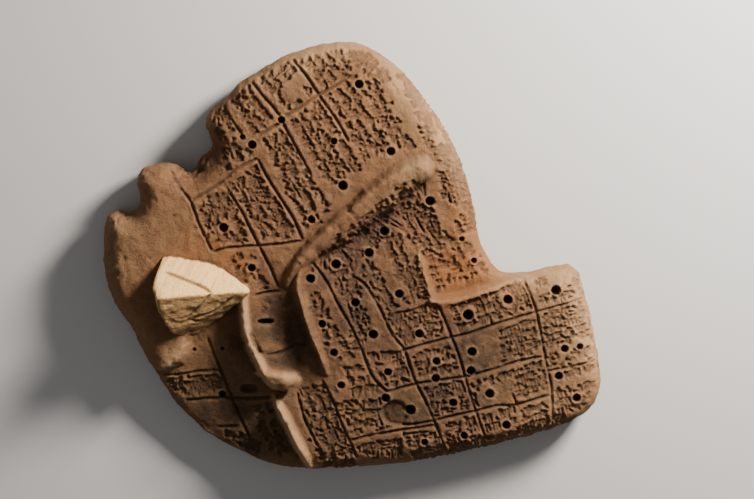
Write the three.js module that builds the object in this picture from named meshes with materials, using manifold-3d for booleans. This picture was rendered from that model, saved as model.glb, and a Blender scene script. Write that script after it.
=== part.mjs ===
// A clay model of a sheep's liver, fired, lying on its back with the written face up.
// Units are millimetres, +Z is up, and the origin is the middle of the footprint on the ground.
// +X runs along the ruled rows of the squares and +Y along their columns, towards the domed lobe.
import * as THREE from "three";
import { ConvexGeometry } from "three/addons/geometries/ConvexGeometry.js";
import { mergeVertices } from "three/addons/utils/BufferGeometryUtils.js";
import Module from "manifold-3d";

// Overall sizes
const width = 146; // along X
const length = 146; // along Y
const slabHeight = 15.5; // underside to the written face, before its swells and dips
const rimHeight = 7.5; // ground to the widest line of the rim
const rimRun = 7; // how far in from the outline the written face rounds over
const footRun = 5; // how far in from the outline the flat underside starts

// Carving sizes
const fingerRise = 16.5; // top of the three-sided finger above the face beside it
const grooveWidth = 1.5; // a ruled line, across its mouth
const grooveDepth = 0.9;
const holeDepth = 5; // peg holes, all blind
const holeTaper = 0.85; // floor of a peg hole against its mouth

// Fineness of the faceted surface
const ringCount = 21; // rings of facets from the middle out to the rim
const holeSides = 6;
const grooveStep = 9; // longest straight stretch of a ruled line's cutter
const bury = 3; // how far added pieces reach down into the slab
const clearOver = 1.2; // how far cutters reach up over the face

// Places are shares of the width and length, in percent, counted from the middle.
const heart = [-4, -8]; // the rings of facets close on this point

const outlineShares = [
  [-47.4, 25.0], [-45.2, 29.3], [-43.0, 30.5], [-39.8, 28.8], [-38.0, 29.1], [-36.3, 31.5], [-35.7, 35.4],
  [-33.3, 37.1], [-28.9, 36.7], [-25.7, 35.0], [-23.9, 33.0], [-20.9, 35.1], [-18.5, 35.8], [-17.0, 37.0],
  [-16.7, 42.1], [-15.0, 44.0], [-11.9, 45.1], [-6.5, 47.7], [3.8, 49.9], [13.2, 49.6], [21.6, 46.6],
  [28.3, 37.9], [31.5, 28.4], [33.6, 17.6], [33.0, 3.5], [31.8, -3.8], [33.5, -11.9], [36.0, -13.5],
  [44.1, -15.0], [48.7, -16.1], [50.1, -18.2], [49.5, -27.9], [48.0, -37.8], [47.1, -41.9], [45.1, -46.1],
  [42.0, -48.6], [37.6, -49.7], [32.7, -49.9], [10.1, -47.8], [-13.4, -42.6], [-29.8, -35.8],
  [-41.4, -23.4], [-45.4, -14.8], [-46.7, -8.5], [-47.8, -3.2], [-48.5, 4.6], [-50.0, 10.2], [-50.0, 16.8],
];

// Broad rises (+) and hollows (-) of the face: middle, half-spread in mm along and across, turn in degrees, rise.
const swells = [
  { name: "middle", at: [0, 0], spread: [75, 75], turn: 0, rise: 2 },
  { name: "dome", at: [8, 32], spread: [32, 26], turn: 0, rise: 1.2 },
  { name: "left lobe", at: [-44, 12], spread: [16, 26], turn: -8, rise: 1.8 },
  { name: "right lobe end", at: [47, -32], spread: [14, 26], turn: 0, rise: -1.5 },
  { name: "hollow below the gall bladder", at: [9, 5.5], spread: [19, 9], turn: 16, rise: -3.2 },
  { name: "hollow's left end", at: [-3, 1], spread: [9, 6], turn: 20, rise: -1.5 },
  { name: "dip beside the gall bladder", at: [10, 21.5], spread: [22, 4], turn: 14, rise: -0.8 },
  { name: "channel", at: [-14.5, -9], spread: [5, 20], turn: 0, rise: -2.6 },
  { name: "broken edge", at: [-21, 33.5], spread: [9, 5], turn: 20, rise: -4 },
  { name: "slope to the lower left rim", at: [-42, -22], spread: [20, 14], turn: -50, rise: -2.5 },
  { name: "slope to the lower rim", at: [-8, -45], spread: [45, 10], turn: -12, rise: -1.5 },
];

// Areas sunk below the face with a wall round them: corners, depth, run of the wall, and how far the sinking carries.
const sunkAreas = [
  {
    name: "recess in the corner",
    corners: [
      [17.2, -12.6], [17.6, -7.4], [17.6, -1.5], [15.5, 6], [20, 13], [38, 13], [42, -9], [38, -14.2], [28.1, -13.9],
      [21.1, -13.4],
    ],
    depth: 4.4, run: 2.6, from: [25, -13], carry: 21,
  },
  {
    name: "lower left area",
    corners: [
      [-54, -5.6], [-46.0, -6.0], [-43.4, -5.8], [-41.0, -4.9], [-39.2, -3.1], [-37.8, -0.6], [-30, 1.5], [-22.6, 3.5],
      [-24.2, -2], [-25.0, -7.5], [-24.4, -13.3], [-23.4, -17.5], [-20.0, -20.6], [-23.2, -22.6], [-23.0, -30], [-21.6, -46],
      [-40, -46], [-56, -20],
    ],
    depth: 4.6, run: 2.4, from: [-32, -14], carry: 60,
  },
];

// Ridges laid on the face: stations of place, half-width to the left and right of its run, and height, in mm.
const ridges = [
  {
    name: "gall bladder",
    stations: [
      { at: [28.2, 16.0], left: 1.8, right: 1.6, height: 0.5 },
      { at: [26.8, 16.4], left: 4.2, right: 4.2, height: 4.6 },
      { at: [23.6, 17.2], left: 6.4, right: 4.0, height: 5.8 },
      { at: [19.0, 17.0], left: 8.6, right: 3.6, height: 5.9 },
      { at: [14.2, 15.6], left: 9.4, right: 3.4, height: 5.6 },
      { at: [7.1, 12.8], left: 8.8, right: 3.2, height: 4.9 },
      { at: [1.3, 10.8], left: 7.4, right: 3.0, height: 4.2 },
      { at: [-4.8, 8.0], left: 4.6, right: 2.8, height: 3.4 },
      { at: [-9.6, 5.0], left: 2.6, right: 2.4, height: 2.4 },
      { at: [-12.2, 2.2], left: 1.4, right: 1.4, height: 0.5 },
    ],
  },
  {
    name: "yoke",
    stations: [
      { at: [-6.6, 5.6], left: 2.8, right: 1.8, height: 0.8 },
      { at: [-8.6, 3.5], left: 3.0, right: 3.0, height: 2.4 },
      { at: [-9.8, 0.8], left: 3.2, right: 4.2, height: 3.0 },
      { at: [-10.3, -3.2], left: 3.4, right: 4.0, height: 3.0 },
      { at: [-10.6, -8.6], left: 3.4, right: 3.8, height: 2.8 },
      { at: [-10.4, -14.6], left: 3.0, right: 3.4, height: 2.4 },
      { at: [-10.4, -19.6], left: 1.8, right: 1.8, height: 0.6 },
    ],
  },
  {
    name: "edge below the finger",
    stations: [
      { at: [-21.2, 5.0], left: 2.4, right: 2.6, height: 1.6 },
      { at: [-22.8, 0.4], left: 2.4, right: 4.6, height: 2.4 },
      { at: [-24.0, -5.2], left: 2.4, right: 5.0, height: 2.6 },
      { at: [-23.9, -9.4], left: 2.6, right: 4.8, height: 3.0 },
      { at: [-23.3, -13.6], left: 3.2, right: 4.8, height: 3.8 },
      { at: [-22.2, -16.4], left: 3.8, right: 5.0, height: 4.8 },
      { at: [-20.4, -17.8], left: 3.8, right: 5.2, height: 5.0 },
      { at: [-18.9, -19.3], left: 2.8, right: 3.6, height: 3.4 },
      { at: [-17.9, -20.4], left: 1.2, right: 1.4, height: 0.4 },
    ],
  },
  {
    name: "lower edge",
    stations: [
      { at: [-23.5, -21.4], left: 1.8, right: 2.2, height: 1.8 },
      { at: [-22.9, -24.4], left: 2.6, right: 3.8, height: 3.2 },
      { at: [-22.4, -29.7], left: 2.6, right: 3.8, height: 3.0 },
      { at: [-21.8, -34.6], left: 2.4, right: 3.2, height: 2.6 },
      { at: [-21.4, -38.4], left: 1.6, right: 2.0, height: 1.0 },
    ],
  },
  {
    name: "brow of the recess",
    stations: [
      { at: [17.9, 0.6], left: 1.2, right: 1.2, height: 0.2 },
      { at: [17.4, -4.0], left: 3.2, right: 2.4, height: 0.7 },
      { at: [16.9, -9.4], left: 3.4, right: 2.4, height: 0.9 },
      { at: [17.4, -12.6], left: 4.0, right: 3.0, height: 1.0 },
      { at: [21.2, -14.0], left: 3.6, right: 2.6, height: 1.0 },
      { at: [28.2, -14.6], left: 3.4, right: 2.4, height: 1.0 },
      { at: [34.4, -15.0], left: 3.0, right: 2.2, height: 0.7 },
      { at: [39.0, -16.2], left: 1.6, right: 1.4, height: 0.2 },
    ],
  },
  {
    name: "lip of the bare lobe",
    stations: [
      { at: [-37.2, 0.6], left: 2.0, right: 1.8, height: 0.5 },
      { at: [-39.4, -2.4], left: 3.2, right: 2.6, height: 1.2 },
      { at: [-41.2, -4.2], left: 3.2, right: 2.8, height: 1.3 },
      { at: [-44.0, -4.9], left: 2.6, right: 2.4, height: 0.7 },
    ],
  },
];

// The finger: the line round its foot, and the places above it, each with its share of the finger's rise.
const fingerFoot = [
  [-20.0, 4.0], [-21.3, 6.9], [-23.7, 12.0], [-26.9, 14.3], [-32.0, 16.5], [-35.5, 17.8], [-37.0, 14.6], [-37.4, 9.4],
  [-37.8, 3.6], [-38.2, 0.0], [-36.2, -1.6], [-33.0, -1.2], [-25.3, 1.3],
];
const fingerTop = [
  { at: [-38.9, 10.3], rise: 1 },
  { at: [-38.0, 10.6], rise: 0.99 },
  { at: [-29.0, 7.4], rise: 0.52 },
  { at: [-37.5, 15.4], rise: 0.42 },
  { at: [-39.2, 13.2], rise: 0.68 },
  { at: [-39.6, 8.0], rise: 0.8 },
  { at: [-39.8, 4.0], rise: 0.55 },
  { at: [-39.6, 1.0], rise: 0.3 },
];

// Ruled lines, each along the points given.
const ruledLines = {
  "edge of the bare lobe": [[-27.0, 33.5], [-25.6, 27.2], [-25.6, 22.2], [-25.0, 15.0]],
  "dome row 1": [[-25.6, 27.2], [-17.4, 29.0], [-8.3, 31.1]],
  "dome column 1": [[-17.0, 27.6], [-15.8, 21.7], [-14.9, 14.0], [-13.9, 3.6]],
  "dome column 2": [[-8.3, 31.1], [-6.6, 21.2], [-5.1, 11.6]],
  "dome column 3": [[-3.8, 46.4], [-2.2, 43.3], [-0.4, 38.4], [0.7, 30.0], [2.0, 20.0]],
  "dome column 4": [[6.6, 47.4], [9.4, 39.5], [11.5, 31.2], [12.4, 25.0]],
  "dome row 2": [[0.2, 37.7], [10.0, 39.8], [17.8, 41.4]],
  "dome foot row": [[-25.1, 14.8], [-17.7, 13.6], [-6.5, 10.6]],
  "neck row": [[-19.9, 2.4], [-14.4, 1.5]],
  "square column 1": [[-4.9, 5.1], [-2.8, -5.3], [-1.3, -17.4], [0.9, -28.2]],
  "square column 2": [[2.2, -1.4], [5.7, -10.0], [7.5, -22.0], [8.4, -38.1], [8.6, -44.6]],
  "square column 3": [[18.0, -14.6], [18.5, -25.6], [17.9, -44.6]],
  "square column 5": [[38.2, -17.0], [37.9, -26.7], [35.6, -40.0], [33.6, -46.8]],
  "square row 1": [[6.8, -20.5], [28.0, -22.0], [46.4, -23.5]],
  "square row 2": [[1.0, -28.2], [19.7, -31.1], [36.2, -32.7]],
  "square row 3": [[8.9, -38.1], [22.4, -39.6], [34.6, -41.4]],
  "square row 4": [[-10.4, -35.8], [-0.6, -37.2], [8.5, -39.1]],
  "square top row": [[8.5, -12.2], [15.6, -13.4]],
  "left row 1": [[-43.4, -8.7], [-32.4, -11.4]],
  "left row 2": [[-41.0, -15.8], [-28.9, -19.7], [-26.2, -20.6]],
  "left column": [[-33.1, -4.6], [-32.9, -12.7], [-32.3, -29.0]],
  "stripe column": [[-12.0, -21.6], [-11.3, -31.0], [-10.9, -39.0]],
};

// Long dents: middle, length and width in mm, turn in degrees, and depth.
const longDents = [
  { at: [-19.4, -4.0], long: 5.6, wide: 1.8, turn: -20, depth: 3.5 },
  { at: [-28.3, -17.5], long: 6.4, wide: 3.2, turn: -20, depth: 2.2 },
];

// Peg holes: place and diameter of the mouth.
const pegHoles = [
  [-0.3, 37.3, 2.4], [-9.7, 36.6, 1.8], [-8.3, 34.3, 2.8], [9.0, 28.9, 2.2], [18.5, 38.8, 2.8], [7.4, 18.9, 3.1],
  [-1.7, 14.2, 2.5], [20.0, 22.4, 2.8], [-20.7, 19.1, 3.0], [24.4, 8.9, 3.1], [12.5, 5.9, 3.0], [7.6, 2.5, 3.0],
  [-0.2, 2.6, 3.1], [28.1, -1.6, 1.8], [29.0, -7.3, 2.0], [-18.0, 8.5, 2.6], [-6.6, 1.6, 3.0], [-7.6, -8.7, 2.6],
  [-7.4, -15.7, 2.6], [1.0, -6.7, 2.8], [10.9, -8.2, 2.8], [2.3, -14.8, 3.0], [12.0, -18.2, 2.8],
  [23.7, -18.0, 3.5], [33.2, -17.8, 3.1], [44.0, -19.6, 3.3], [21.7, -26.1, 3.0], [20.0, -30.1, 2.8],
  [44.8, -33.6, 2.3], [41.4, -32.8, 2.6], [38.1, -38.1, 2.8], [13.5, -25.4, 2.6], [12.0, -29.0, 2.6],
  [2.5, -24.0, 2.6], [-8.4, -23.2, 2.5], [0.0, -29.4, 2.8], [4.3, -33.9, 3.3], [13.8, -35.6, 2.6],
  [22.2, -36.5, 3.0], [23.3, -44.6, 2.8], [40.2, -44.2, 2.8], [13.6, -43.6, 2.4], [4.7, -42.0, 2.2],
  [-34.6, -16.8, 2.5],
];

const wasm = await Module();
wasm.setup();

// A place given in shares, in millimetres.
function place([u, v]) {
  return new THREE.Vector2((u * width) / 100, (v * length) / 100);
}

function smooth(share) {
  const t = Math.min(1, Math.max(0, share));
  return t * t * (3 - 2 * t);
}

// Shortest way from a point to a line of points, closed or open.
function distanceToLine(point, line, closed) {
  const last = closed ? line.length : line.length - 1;
  let nearest = Infinity;
  for (let i = 0; i < last; i++) {
    const start = line[i];
    const along = line[(i + 1) % line.length].clone().sub(start);
    const share = THREE.MathUtils.clamp(point.clone().sub(start).dot(along) / along.lengthSq(), 0, 1);
    nearest = Math.min(nearest, point.distanceTo(start.clone().addScaledVector(along, share)));
  }
  return nearest;
}

function isInside(point, corners) {
  let inside = false;
  corners.forEach((a, i) => {
    const b = corners[(i + 1) % corners.length];
    const crosses = a.y > point.y !== b.y > point.y;
    if (crosses && point.x < a.x + ((point.y - a.y) / (b.y - a.y)) * (b.x - a.x)) inside = !inside;
  });
  return inside;
}

// The outline as a smooth closed curve, and as points on it that lie closer together where it is broken.
const outlineCurve = new THREE.CatmullRomCurve3(
  outlineShares.map((share) => new THREE.Vector3(...place(share), 0)),
  true,
  "centripetal",
);
const outline = Array.from({ length: 6 * ringCount }, (_, i) => {
  const even = i / (6 * ringCount);
  const share = (even + outlineCurve.getUtoTmapping(even)) / 2;
  const p = outlineCurve.getPoint(share);
  return new THREE.Vector2(p.x, p.y);
});
const middle = place(heart);
const sunk = sunkAreas.map((area) => ({ ...area, corners: area.corners.map(place), from: place(area.from) }));

// Height of the written face over the ground before its rim is rounded.
function faceHeight(point) {
  let height = slabHeight;
  for (const { at, spread, turn, rise } of swells) {
    const away = point.clone().sub(place(at)).rotateAround(new THREE.Vector2(), THREE.MathUtils.degToRad(-turn));
    height += rise * Math.exp(-((away.x / spread[0]) ** 2) - (away.y / spread[1]) ** 2);
  }
  for (const { corners, depth, run, from, carry } of sunk) {
    if (!isInside(point, corners)) continue;
    const wall = smooth(distanceToLine(point, corners, true) / run);
    height -= depth * wall * Math.exp(-((point.distanceTo(from) / carry) ** 2));
  }
  return height;
}

// Height with the rim rounded over, as a quarter of an ellipse.
function surfaceHeight(point) {
  const inFrom = distanceToLine(point, outline, true);
  const round = Math.sqrt(1 - (1 - Math.min(1, inFrom / rimRun)) ** 2);
  return rimHeight + (faceHeight(point) - rimHeight) * round;
}

function geometryOf(points, triangles) {
  const geometry = new THREE.BufferGeometry().setFromPoints(points);
  geometry.setIndex(triangles);
  return geometry;
}

function solidOf(geometry) {
  const bare = geometry.index ? geometry.toNonIndexed() : geometry.clone();
  bare.deleteAttribute("normal");
  bare.deleteAttribute("uv");
  const merged = mergeVertices(bare, 1e-4);
  return new wasm.Manifold(
    new wasm.Mesh({
      numProp: 3,
      vertProperties: merged.attributes.position.array,
      triVerts: new Uint32Array(merged.index.array),
    }),
  );
}

// The slab: rings of facets on the face, a rounded rim, and a flat underside.
function makeSlab() {
  const points = [];
  const triangles = [];
  const rimInsets = [0, 0.09, 0.34, 0.9].map((share) => share * rimRun);
  const innerRings = ringCount - rimInsets.length;

  function ringPoint(ring, step) {
    const edge = outline[Math.round((step * ringCount) / ring) % outline.length];
    const exact = (step * ringCount) / ring;
    const before = outline[Math.floor(exact) % outline.length];
    const after = outline[(Math.floor(exact) + 1) % outline.length];
    const onEdge = ring === ringCount ? edge : before.clone().lerp(after, exact % 1);
    const reach = onEdge.distanceTo(middle);
    const inset = ring > innerRings ? rimInsets[ringCount - ring] : null;
    const inner = ((reach - rimInsets.at(-1)) * ring) / (innerRings + 1);
    const share = (inset === null ? inner : reach - inset) / reach;
    return middle.clone().lerp(onEdge, share);
  }

  const ringStarts = [];
  for (let ring = 0; ring <= ringCount; ring++) {
    ringStarts.push(points.length);
    for (let step = 0; step < Math.max(1, 6 * ring); step++) {
      const point = ring ? ringPoint(ring, step) : middle;
      const height = ring === ringCount ? rimHeight : surfaceHeight(point);
      points.push(new THREE.Vector3(point.x, point.y, height));
    }
  }
  for (let ring = 1; ring <= ringCount; ring++) {
    const outer = ringStarts[ring];
    const inner = ringStarts[ring - 1];
    const outerCount = 6 * ring;
    const innerCount = Math.max(1, 6 * (ring - 1));
    for (let side = 0; side < 6; side++) {
      for (let step = 0; step < ring; step++) {
        const a = outer + ((side * ring + step) % outerCount);
        const b = outer + ((side * ring + step + 1) % outerCount);
        const c = inner + ((side * (ring - 1) + step) % innerCount);
        triangles.push(a, c, b);
        if (step === ring - 1) continue;
        const d = inner + ((side * (ring - 1) + step + 1) % innerCount);
        triangles.push(b, c, d);
      }
    }
  }

  // The lower half of the rim and the underside, which closes on one point.
  const lowerRings = [{ inset: 0.18, height: 0.42 }, { inset: 0.6, height: 0.1 }, { inset: 1, height: 0 }];
  let above = ringStarts[ringCount];
  for (const { inset, height } of lowerRings) {
    const below = points.length;
    outline.forEach((edge) => {
      const share = (inset * footRun) / edge.distanceTo(middle);
      const point = edge.clone().lerp(middle, share);
      points.push(new THREE.Vector3(point.x, point.y, height * rimHeight));
    });
    outline.forEach((_, step) => {
      const next = (step + 1) % outline.length;
      triangles.push(above + step, above + next, below + next, above + step, below + next, below + step);
    });
    above = below;
  }
  points.push(new THREE.Vector3(middle.x, middle.y, 0));
  outline.forEach((_, step) => {
    triangles.push(above + step, above + ((step + 1) % outline.length), points.length - 1);
  });
  return solidOf(geometryOf(points, triangles));
}

// A closed solid through a run of sections, each with the same number of points.
function loft(sections) {
  const points = sections.flat();
  const count = sections[0].length;
  const triangles = [];
  for (let i = 0; i + 1 < sections.length; i++) {
    for (let j = 0; j < count; j++) {
      const a = i * count + j;
      const b = i * count + ((j + 1) % count);
      triangles.push(a, b, a + count, b, b + count, a + count);
    }
  }
  const end = (sections.length - 1) * count;
  for (let j = 1; j + 1 < count; j++) {
    triangles.push(0, j + 1, j, end, end + j, end + j + 1);
  }
  const made = solidOf(geometryOf(points, triangles));
  return made.volume() > 0 ? made : solidOf(geometryOf(points, turned(triangles)));
}

function turned(triangles) {
  return triangles.map((_, i) => triangles[i - (i % 3) + [0, 2, 1][i % 3]]);
}

// Points beside a run, at each of its stations: across is the way to its left.
function acrossAt(stations, i) {
  const before = stations[Math.max(0, i - 1)];
  const after = stations[Math.min(stations.length - 1, i + 1)];
  const along = after.clone().sub(before).normalize();
  return new THREE.Vector2(-along.y, along.x);
}

// A rounded ridge, standing on the face and buried a little in it.
function makeRidge({ stations }) {
  const run = stations.map((station) => place(station.at));
  const profile = [[-1, 0], [-0.78, 0.46], [-0.34, 0.92], [0.3, 0.93], [0.74, 0.5], [1, 0]];
  const sections = stations.map(({ left, right, height }, i) => {
    const across = acrossAt(run, i);
    const top = surfaceHeight(run[i]) + height;
    const rounded = profile.map(([side, rise]) => {
      const offset = side < 0 ? -side * left : -side * right;
      const foot = run[i].clone().addScaledVector(across, offset);
      const base = surfaceHeight(foot);
      return new THREE.Vector3(foot.x, foot.y, base + (top - base) * rise);
    });
    const [first, last] = [rounded[0], rounded.at(-1)];
    const low = Math.min(first.z, last.z) - bury;
    return [...rounded, new THREE.Vector3(last.x, last.y, low), new THREE.Vector3(first.x, first.y, low)];
  });
  return loft(sections);
}

// The finger: a three-sided pyramid lying on the face, its high end wall leaning out.
function makeFinger() {
  const foot = fingerFoot.map(place);
  const level = surfaceHeight(place(fingerFoot[4]));
  const points = foot.flatMap((p) => [
    new THREE.Vector3(p.x, p.y, surfaceHeight(p) - bury),
    new THREE.Vector3(p.x, p.y, surfaceHeight(p) + 0.3),
  ]);
  fingerTop.forEach(({ at, rise }) => {
    const p = place(at);
    points.push(new THREE.Vector3(p.x, p.y, level + fingerRise * rise));
  });
  return solidOf(new ConvexGeometry(points));
}

// A ruled line: a V cut that follows the face.
function makeGroove(shares) {
  const curve = new THREE.CatmullRomCurve3(shares.map((share) => new THREE.Vector3(...place(share), 0)));
  const steps = Math.max(shares.length - 1, Math.ceil(curve.getLength() / grooveStep));
  const run = curve.getSpacedPoints(steps).map((p) => new THREE.Vector2(p.x, p.y));
  const halfMouth = ((grooveWidth / 2) * (grooveDepth + clearOver)) / grooveDepth;
  return loft(
    run.map((point, i) => {
      const across = acrossAt(run, i).multiplyScalar(halfMouth);
      const height = surfaceHeight(point);
      return [
        new THREE.Vector3(point.x + across.x, point.y + across.y, height + clearOver),
        new THREE.Vector3(point.x, point.y, height - grooveDepth),
        new THREE.Vector3(point.x - across.x, point.y - across.y, height + clearOver),
      ];
    }),
  );
}

// A peg hole: a blind, slightly tapered hole, straight down.
function makeHole([u, v, diameter]) {
  const point = place([u, v]);
  const tall = holeDepth + clearOver;
  const bore = new THREE.CylinderGeometry(diameter / 2, (diameter / 2) * holeTaper, tall, holeSides);
  bore.rotateX(Math.PI / 2);
  bore.translate(point.x, point.y, surfaceHeight(point) + clearOver - tall / 2);
  return solidOf(bore);
}

function makeDent({ at, long, wide, turn, depth }) {
  const point = place(at);
  const tall = depth + clearOver;
  const dent = new THREE.CylinderGeometry(0.5, 0.4, tall, holeSides);
  dent.rotateX(Math.PI / 2);
  dent.scale(long, wide, 1);
  dent.rotateZ(THREE.MathUtils.degToRad(turn));
  dent.translate(point.x, point.y, surfaceHeight(point) + clearOver - tall / 2);
  return solidOf(dent);
}

function makeLiver() {
  let liver = makeSlab();
  for (const ridge of ridges) liver = liver.add(makeRidge(ridge));
  liver = liver.add(makeFinger());
  for (const line of Object.values(ruledLines)) liver = liver.subtract(makeGroove(line));
  for (const hole of pegHoles) liver = liver.subtract(makeHole(hole));
  for (const dent of longDents) liver = liver.subtract(makeDent(dent));
  const { vertProperties, triVerts } = liver.getMesh();
  const geometry = new THREE.BufferGeometry();
  geometry.setAttribute("position", new THREE.BufferAttribute(vertProperties, 3));
  geometry.setIndex(new THREE.BufferAttribute(triVerts, 1));
  geometry.computeVertexNormals();
  return geometry;
}

const clay = new THREE.MeshStandardMaterial({ color: 0xa8805a, roughness: 0.92, metalness: 0 });
const liverMesh = new THREE.Mesh(makeLiver(), clay);
liverMesh.name = "clay_liver_model";
liverMesh.geometry.computeBoundingBox();
const box = liverMesh.geometry.boundingBox;
liverMesh.position.set(-(box.min.x + box.max.x) / 2, -(box.min.y + box.max.y) / 2, -box.min.z);

const model = new THREE.Group();
model.add(liverMesh);

export default model;
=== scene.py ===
# A clay model of a sheep's liver: fired clay, ruled into squares, pierced and written all over,
# lying on its back on a pale studio floor with the written face up.
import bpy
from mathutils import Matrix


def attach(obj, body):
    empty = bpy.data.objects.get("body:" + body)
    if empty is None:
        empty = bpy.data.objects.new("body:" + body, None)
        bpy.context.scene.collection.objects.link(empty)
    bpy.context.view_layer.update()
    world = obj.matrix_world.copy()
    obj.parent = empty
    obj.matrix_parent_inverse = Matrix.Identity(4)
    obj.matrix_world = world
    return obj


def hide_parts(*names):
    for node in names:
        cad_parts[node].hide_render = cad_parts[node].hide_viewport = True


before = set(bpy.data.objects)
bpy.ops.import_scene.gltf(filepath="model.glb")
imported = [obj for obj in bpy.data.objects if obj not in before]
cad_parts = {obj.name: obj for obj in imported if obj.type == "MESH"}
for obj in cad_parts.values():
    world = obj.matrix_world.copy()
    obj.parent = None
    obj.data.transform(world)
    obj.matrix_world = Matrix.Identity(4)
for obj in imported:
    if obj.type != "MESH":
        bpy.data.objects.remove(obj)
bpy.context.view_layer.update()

import math
import time

import bmesh
import bpy
import numpy as np
from mathutils import Matrix, Vector, kdtree

mm = 0.001
started = time.time()


def report(stage):
    print(f"{stage}: {time.time() - started:.1f} s")


# the slab: sizes in mm, places in percent of the width and length, counted from the middle
slab = {
    "width": 146, "length": 146,
    "height": 15.5, "rimHeight": 7.5,
    "rimRun": 7, "footRun": 5,
    "cell": 0.3,  # spacing of the surface's grid
    "turnIn": 2.2,  # how far in from the outline the grid stops and the rim's rings start
    "blank": 76,  # half the side of the square that it's trimmed from
    "roundRings": 14,  # from the face out to the widest line
    "footRings": 11,  # from there down to the ground
    "underCells": 84,  # the underside's coarser grid
    "triangles": 181000,
    "outline": [
        (-47.4, 25.0), (-45.2, 29.3), (-43.0, 30.5), (-39.8, 28.8), (-38.0, 29.1), (-36.3, 31.5),
        (-35.7, 35.4), (-33.3, 37.1), (-28.9, 36.7), (-25.7, 35.0), (-23.9, 33.0), (-22.1, 33.6),
        (-20.9, 35.1), (-18.5, 35.8), (-17.0, 37.0), (-17.1, 39.6), (-16.7, 42.1), (-15.0, 44.0),
        (-11.9, 45.1), (-6.5, 47.7), (-0.8, 48.9), (3.8, 49.9), (8.6, 49.9), (13.2, 49.6), (17.6, 48.6),
        (21.6, 46.6), (24.5, 43.7), (28.3, 37.9), (30.0, 33.2), (31.5, 28.4), (32.8, 23.4), (33.6, 17.6),
        (33.8, 12.8), (33.0, 3.5), (31.8, -3.8), (32.2, -8.3), (33.5, -11.9), (36.0, -13.5), (40.0, -14.5),
        (44.1, -15.0), (48.7, -16.1), (50.1, -18.2), (50.0, -22.5), (49.5, -27.9), (48.6, -33.7),
        (48.0, -37.8), (47.1, -41.9), (45.1, -46.1), (42.0, -48.6), (37.6, -49.7), (32.7, -49.9),
        (21.7, -49.1), (10.1, -47.8), (-1.3, -45.9), (-13.4, -42.6), (-23.1, -39.4), (-29.8, -35.8),
        (-35.5, -30.5), (-41.4, -23.4), (-45.4, -14.8), (-46.7, -8.5), (-47.8, -3.2), (-48.5, 4.6),
        (-50.0, 10.2), (-50.0, 16.8),
    ],
    # broad rises and hollows: place, half-spread along and across in mm, turn in degrees, rise in mm
    "swells": [
        ((0, 0), (75, 75), 0, 2), ((8, 32), (32, 26), 0, 1.2), ((-44, 12), (16, 26), -8, 1.8),
        ((47, -32), (14, 26), 0, -1.5), ((9, 5.5), (19, 8.5), 16, -3.8), ((-3, 1), (9, 6), 20, -1.5),
        ((10, 21.5), (22, 4), 14, -0.8), ((-16.6, -9), (6, 20), 0, -2.6), ((-21, 33.5), (9, 5), 20, -4),
        ((-42, -22), (20, 14), -50, -2.5), ((-8, -45), (45, 10), -12, -1.5),
    ],
    # sunk areas: corners, depth, run of the wall, the place where they are deepest and how far they carry
    "sunk": [
        ([(17.2, -12.6), (17.6, -7.4), (17.6, -1.5), (15.5, 6), (20, 13), (38, 13), (42, -9), (38, -14.2),
          (28.1, -13.9), (21.1, -13.4)], 4.7, 1.1, (25, -13), 21),
        ([(-54, -5.6), (-46.0, -6.0), (-43.4, -5.8), (-41.0, -4.9), (-39.2, -3.1), (-37.8, -0.6),
          (-30, 1.5), (-22.6, 3.5), (-24.2, -2), (-25.0, -7.5), (-24.4, -13.3), (-23.4, -17.5),
          (-20.0, -20.6), (-23.2, -22.6), (-23.0, -30), (-21.6, -46), (-40, -46), (-56, -20)],
         4.9, 1.5, (-32, -14), 60),
    ],
}

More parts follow.
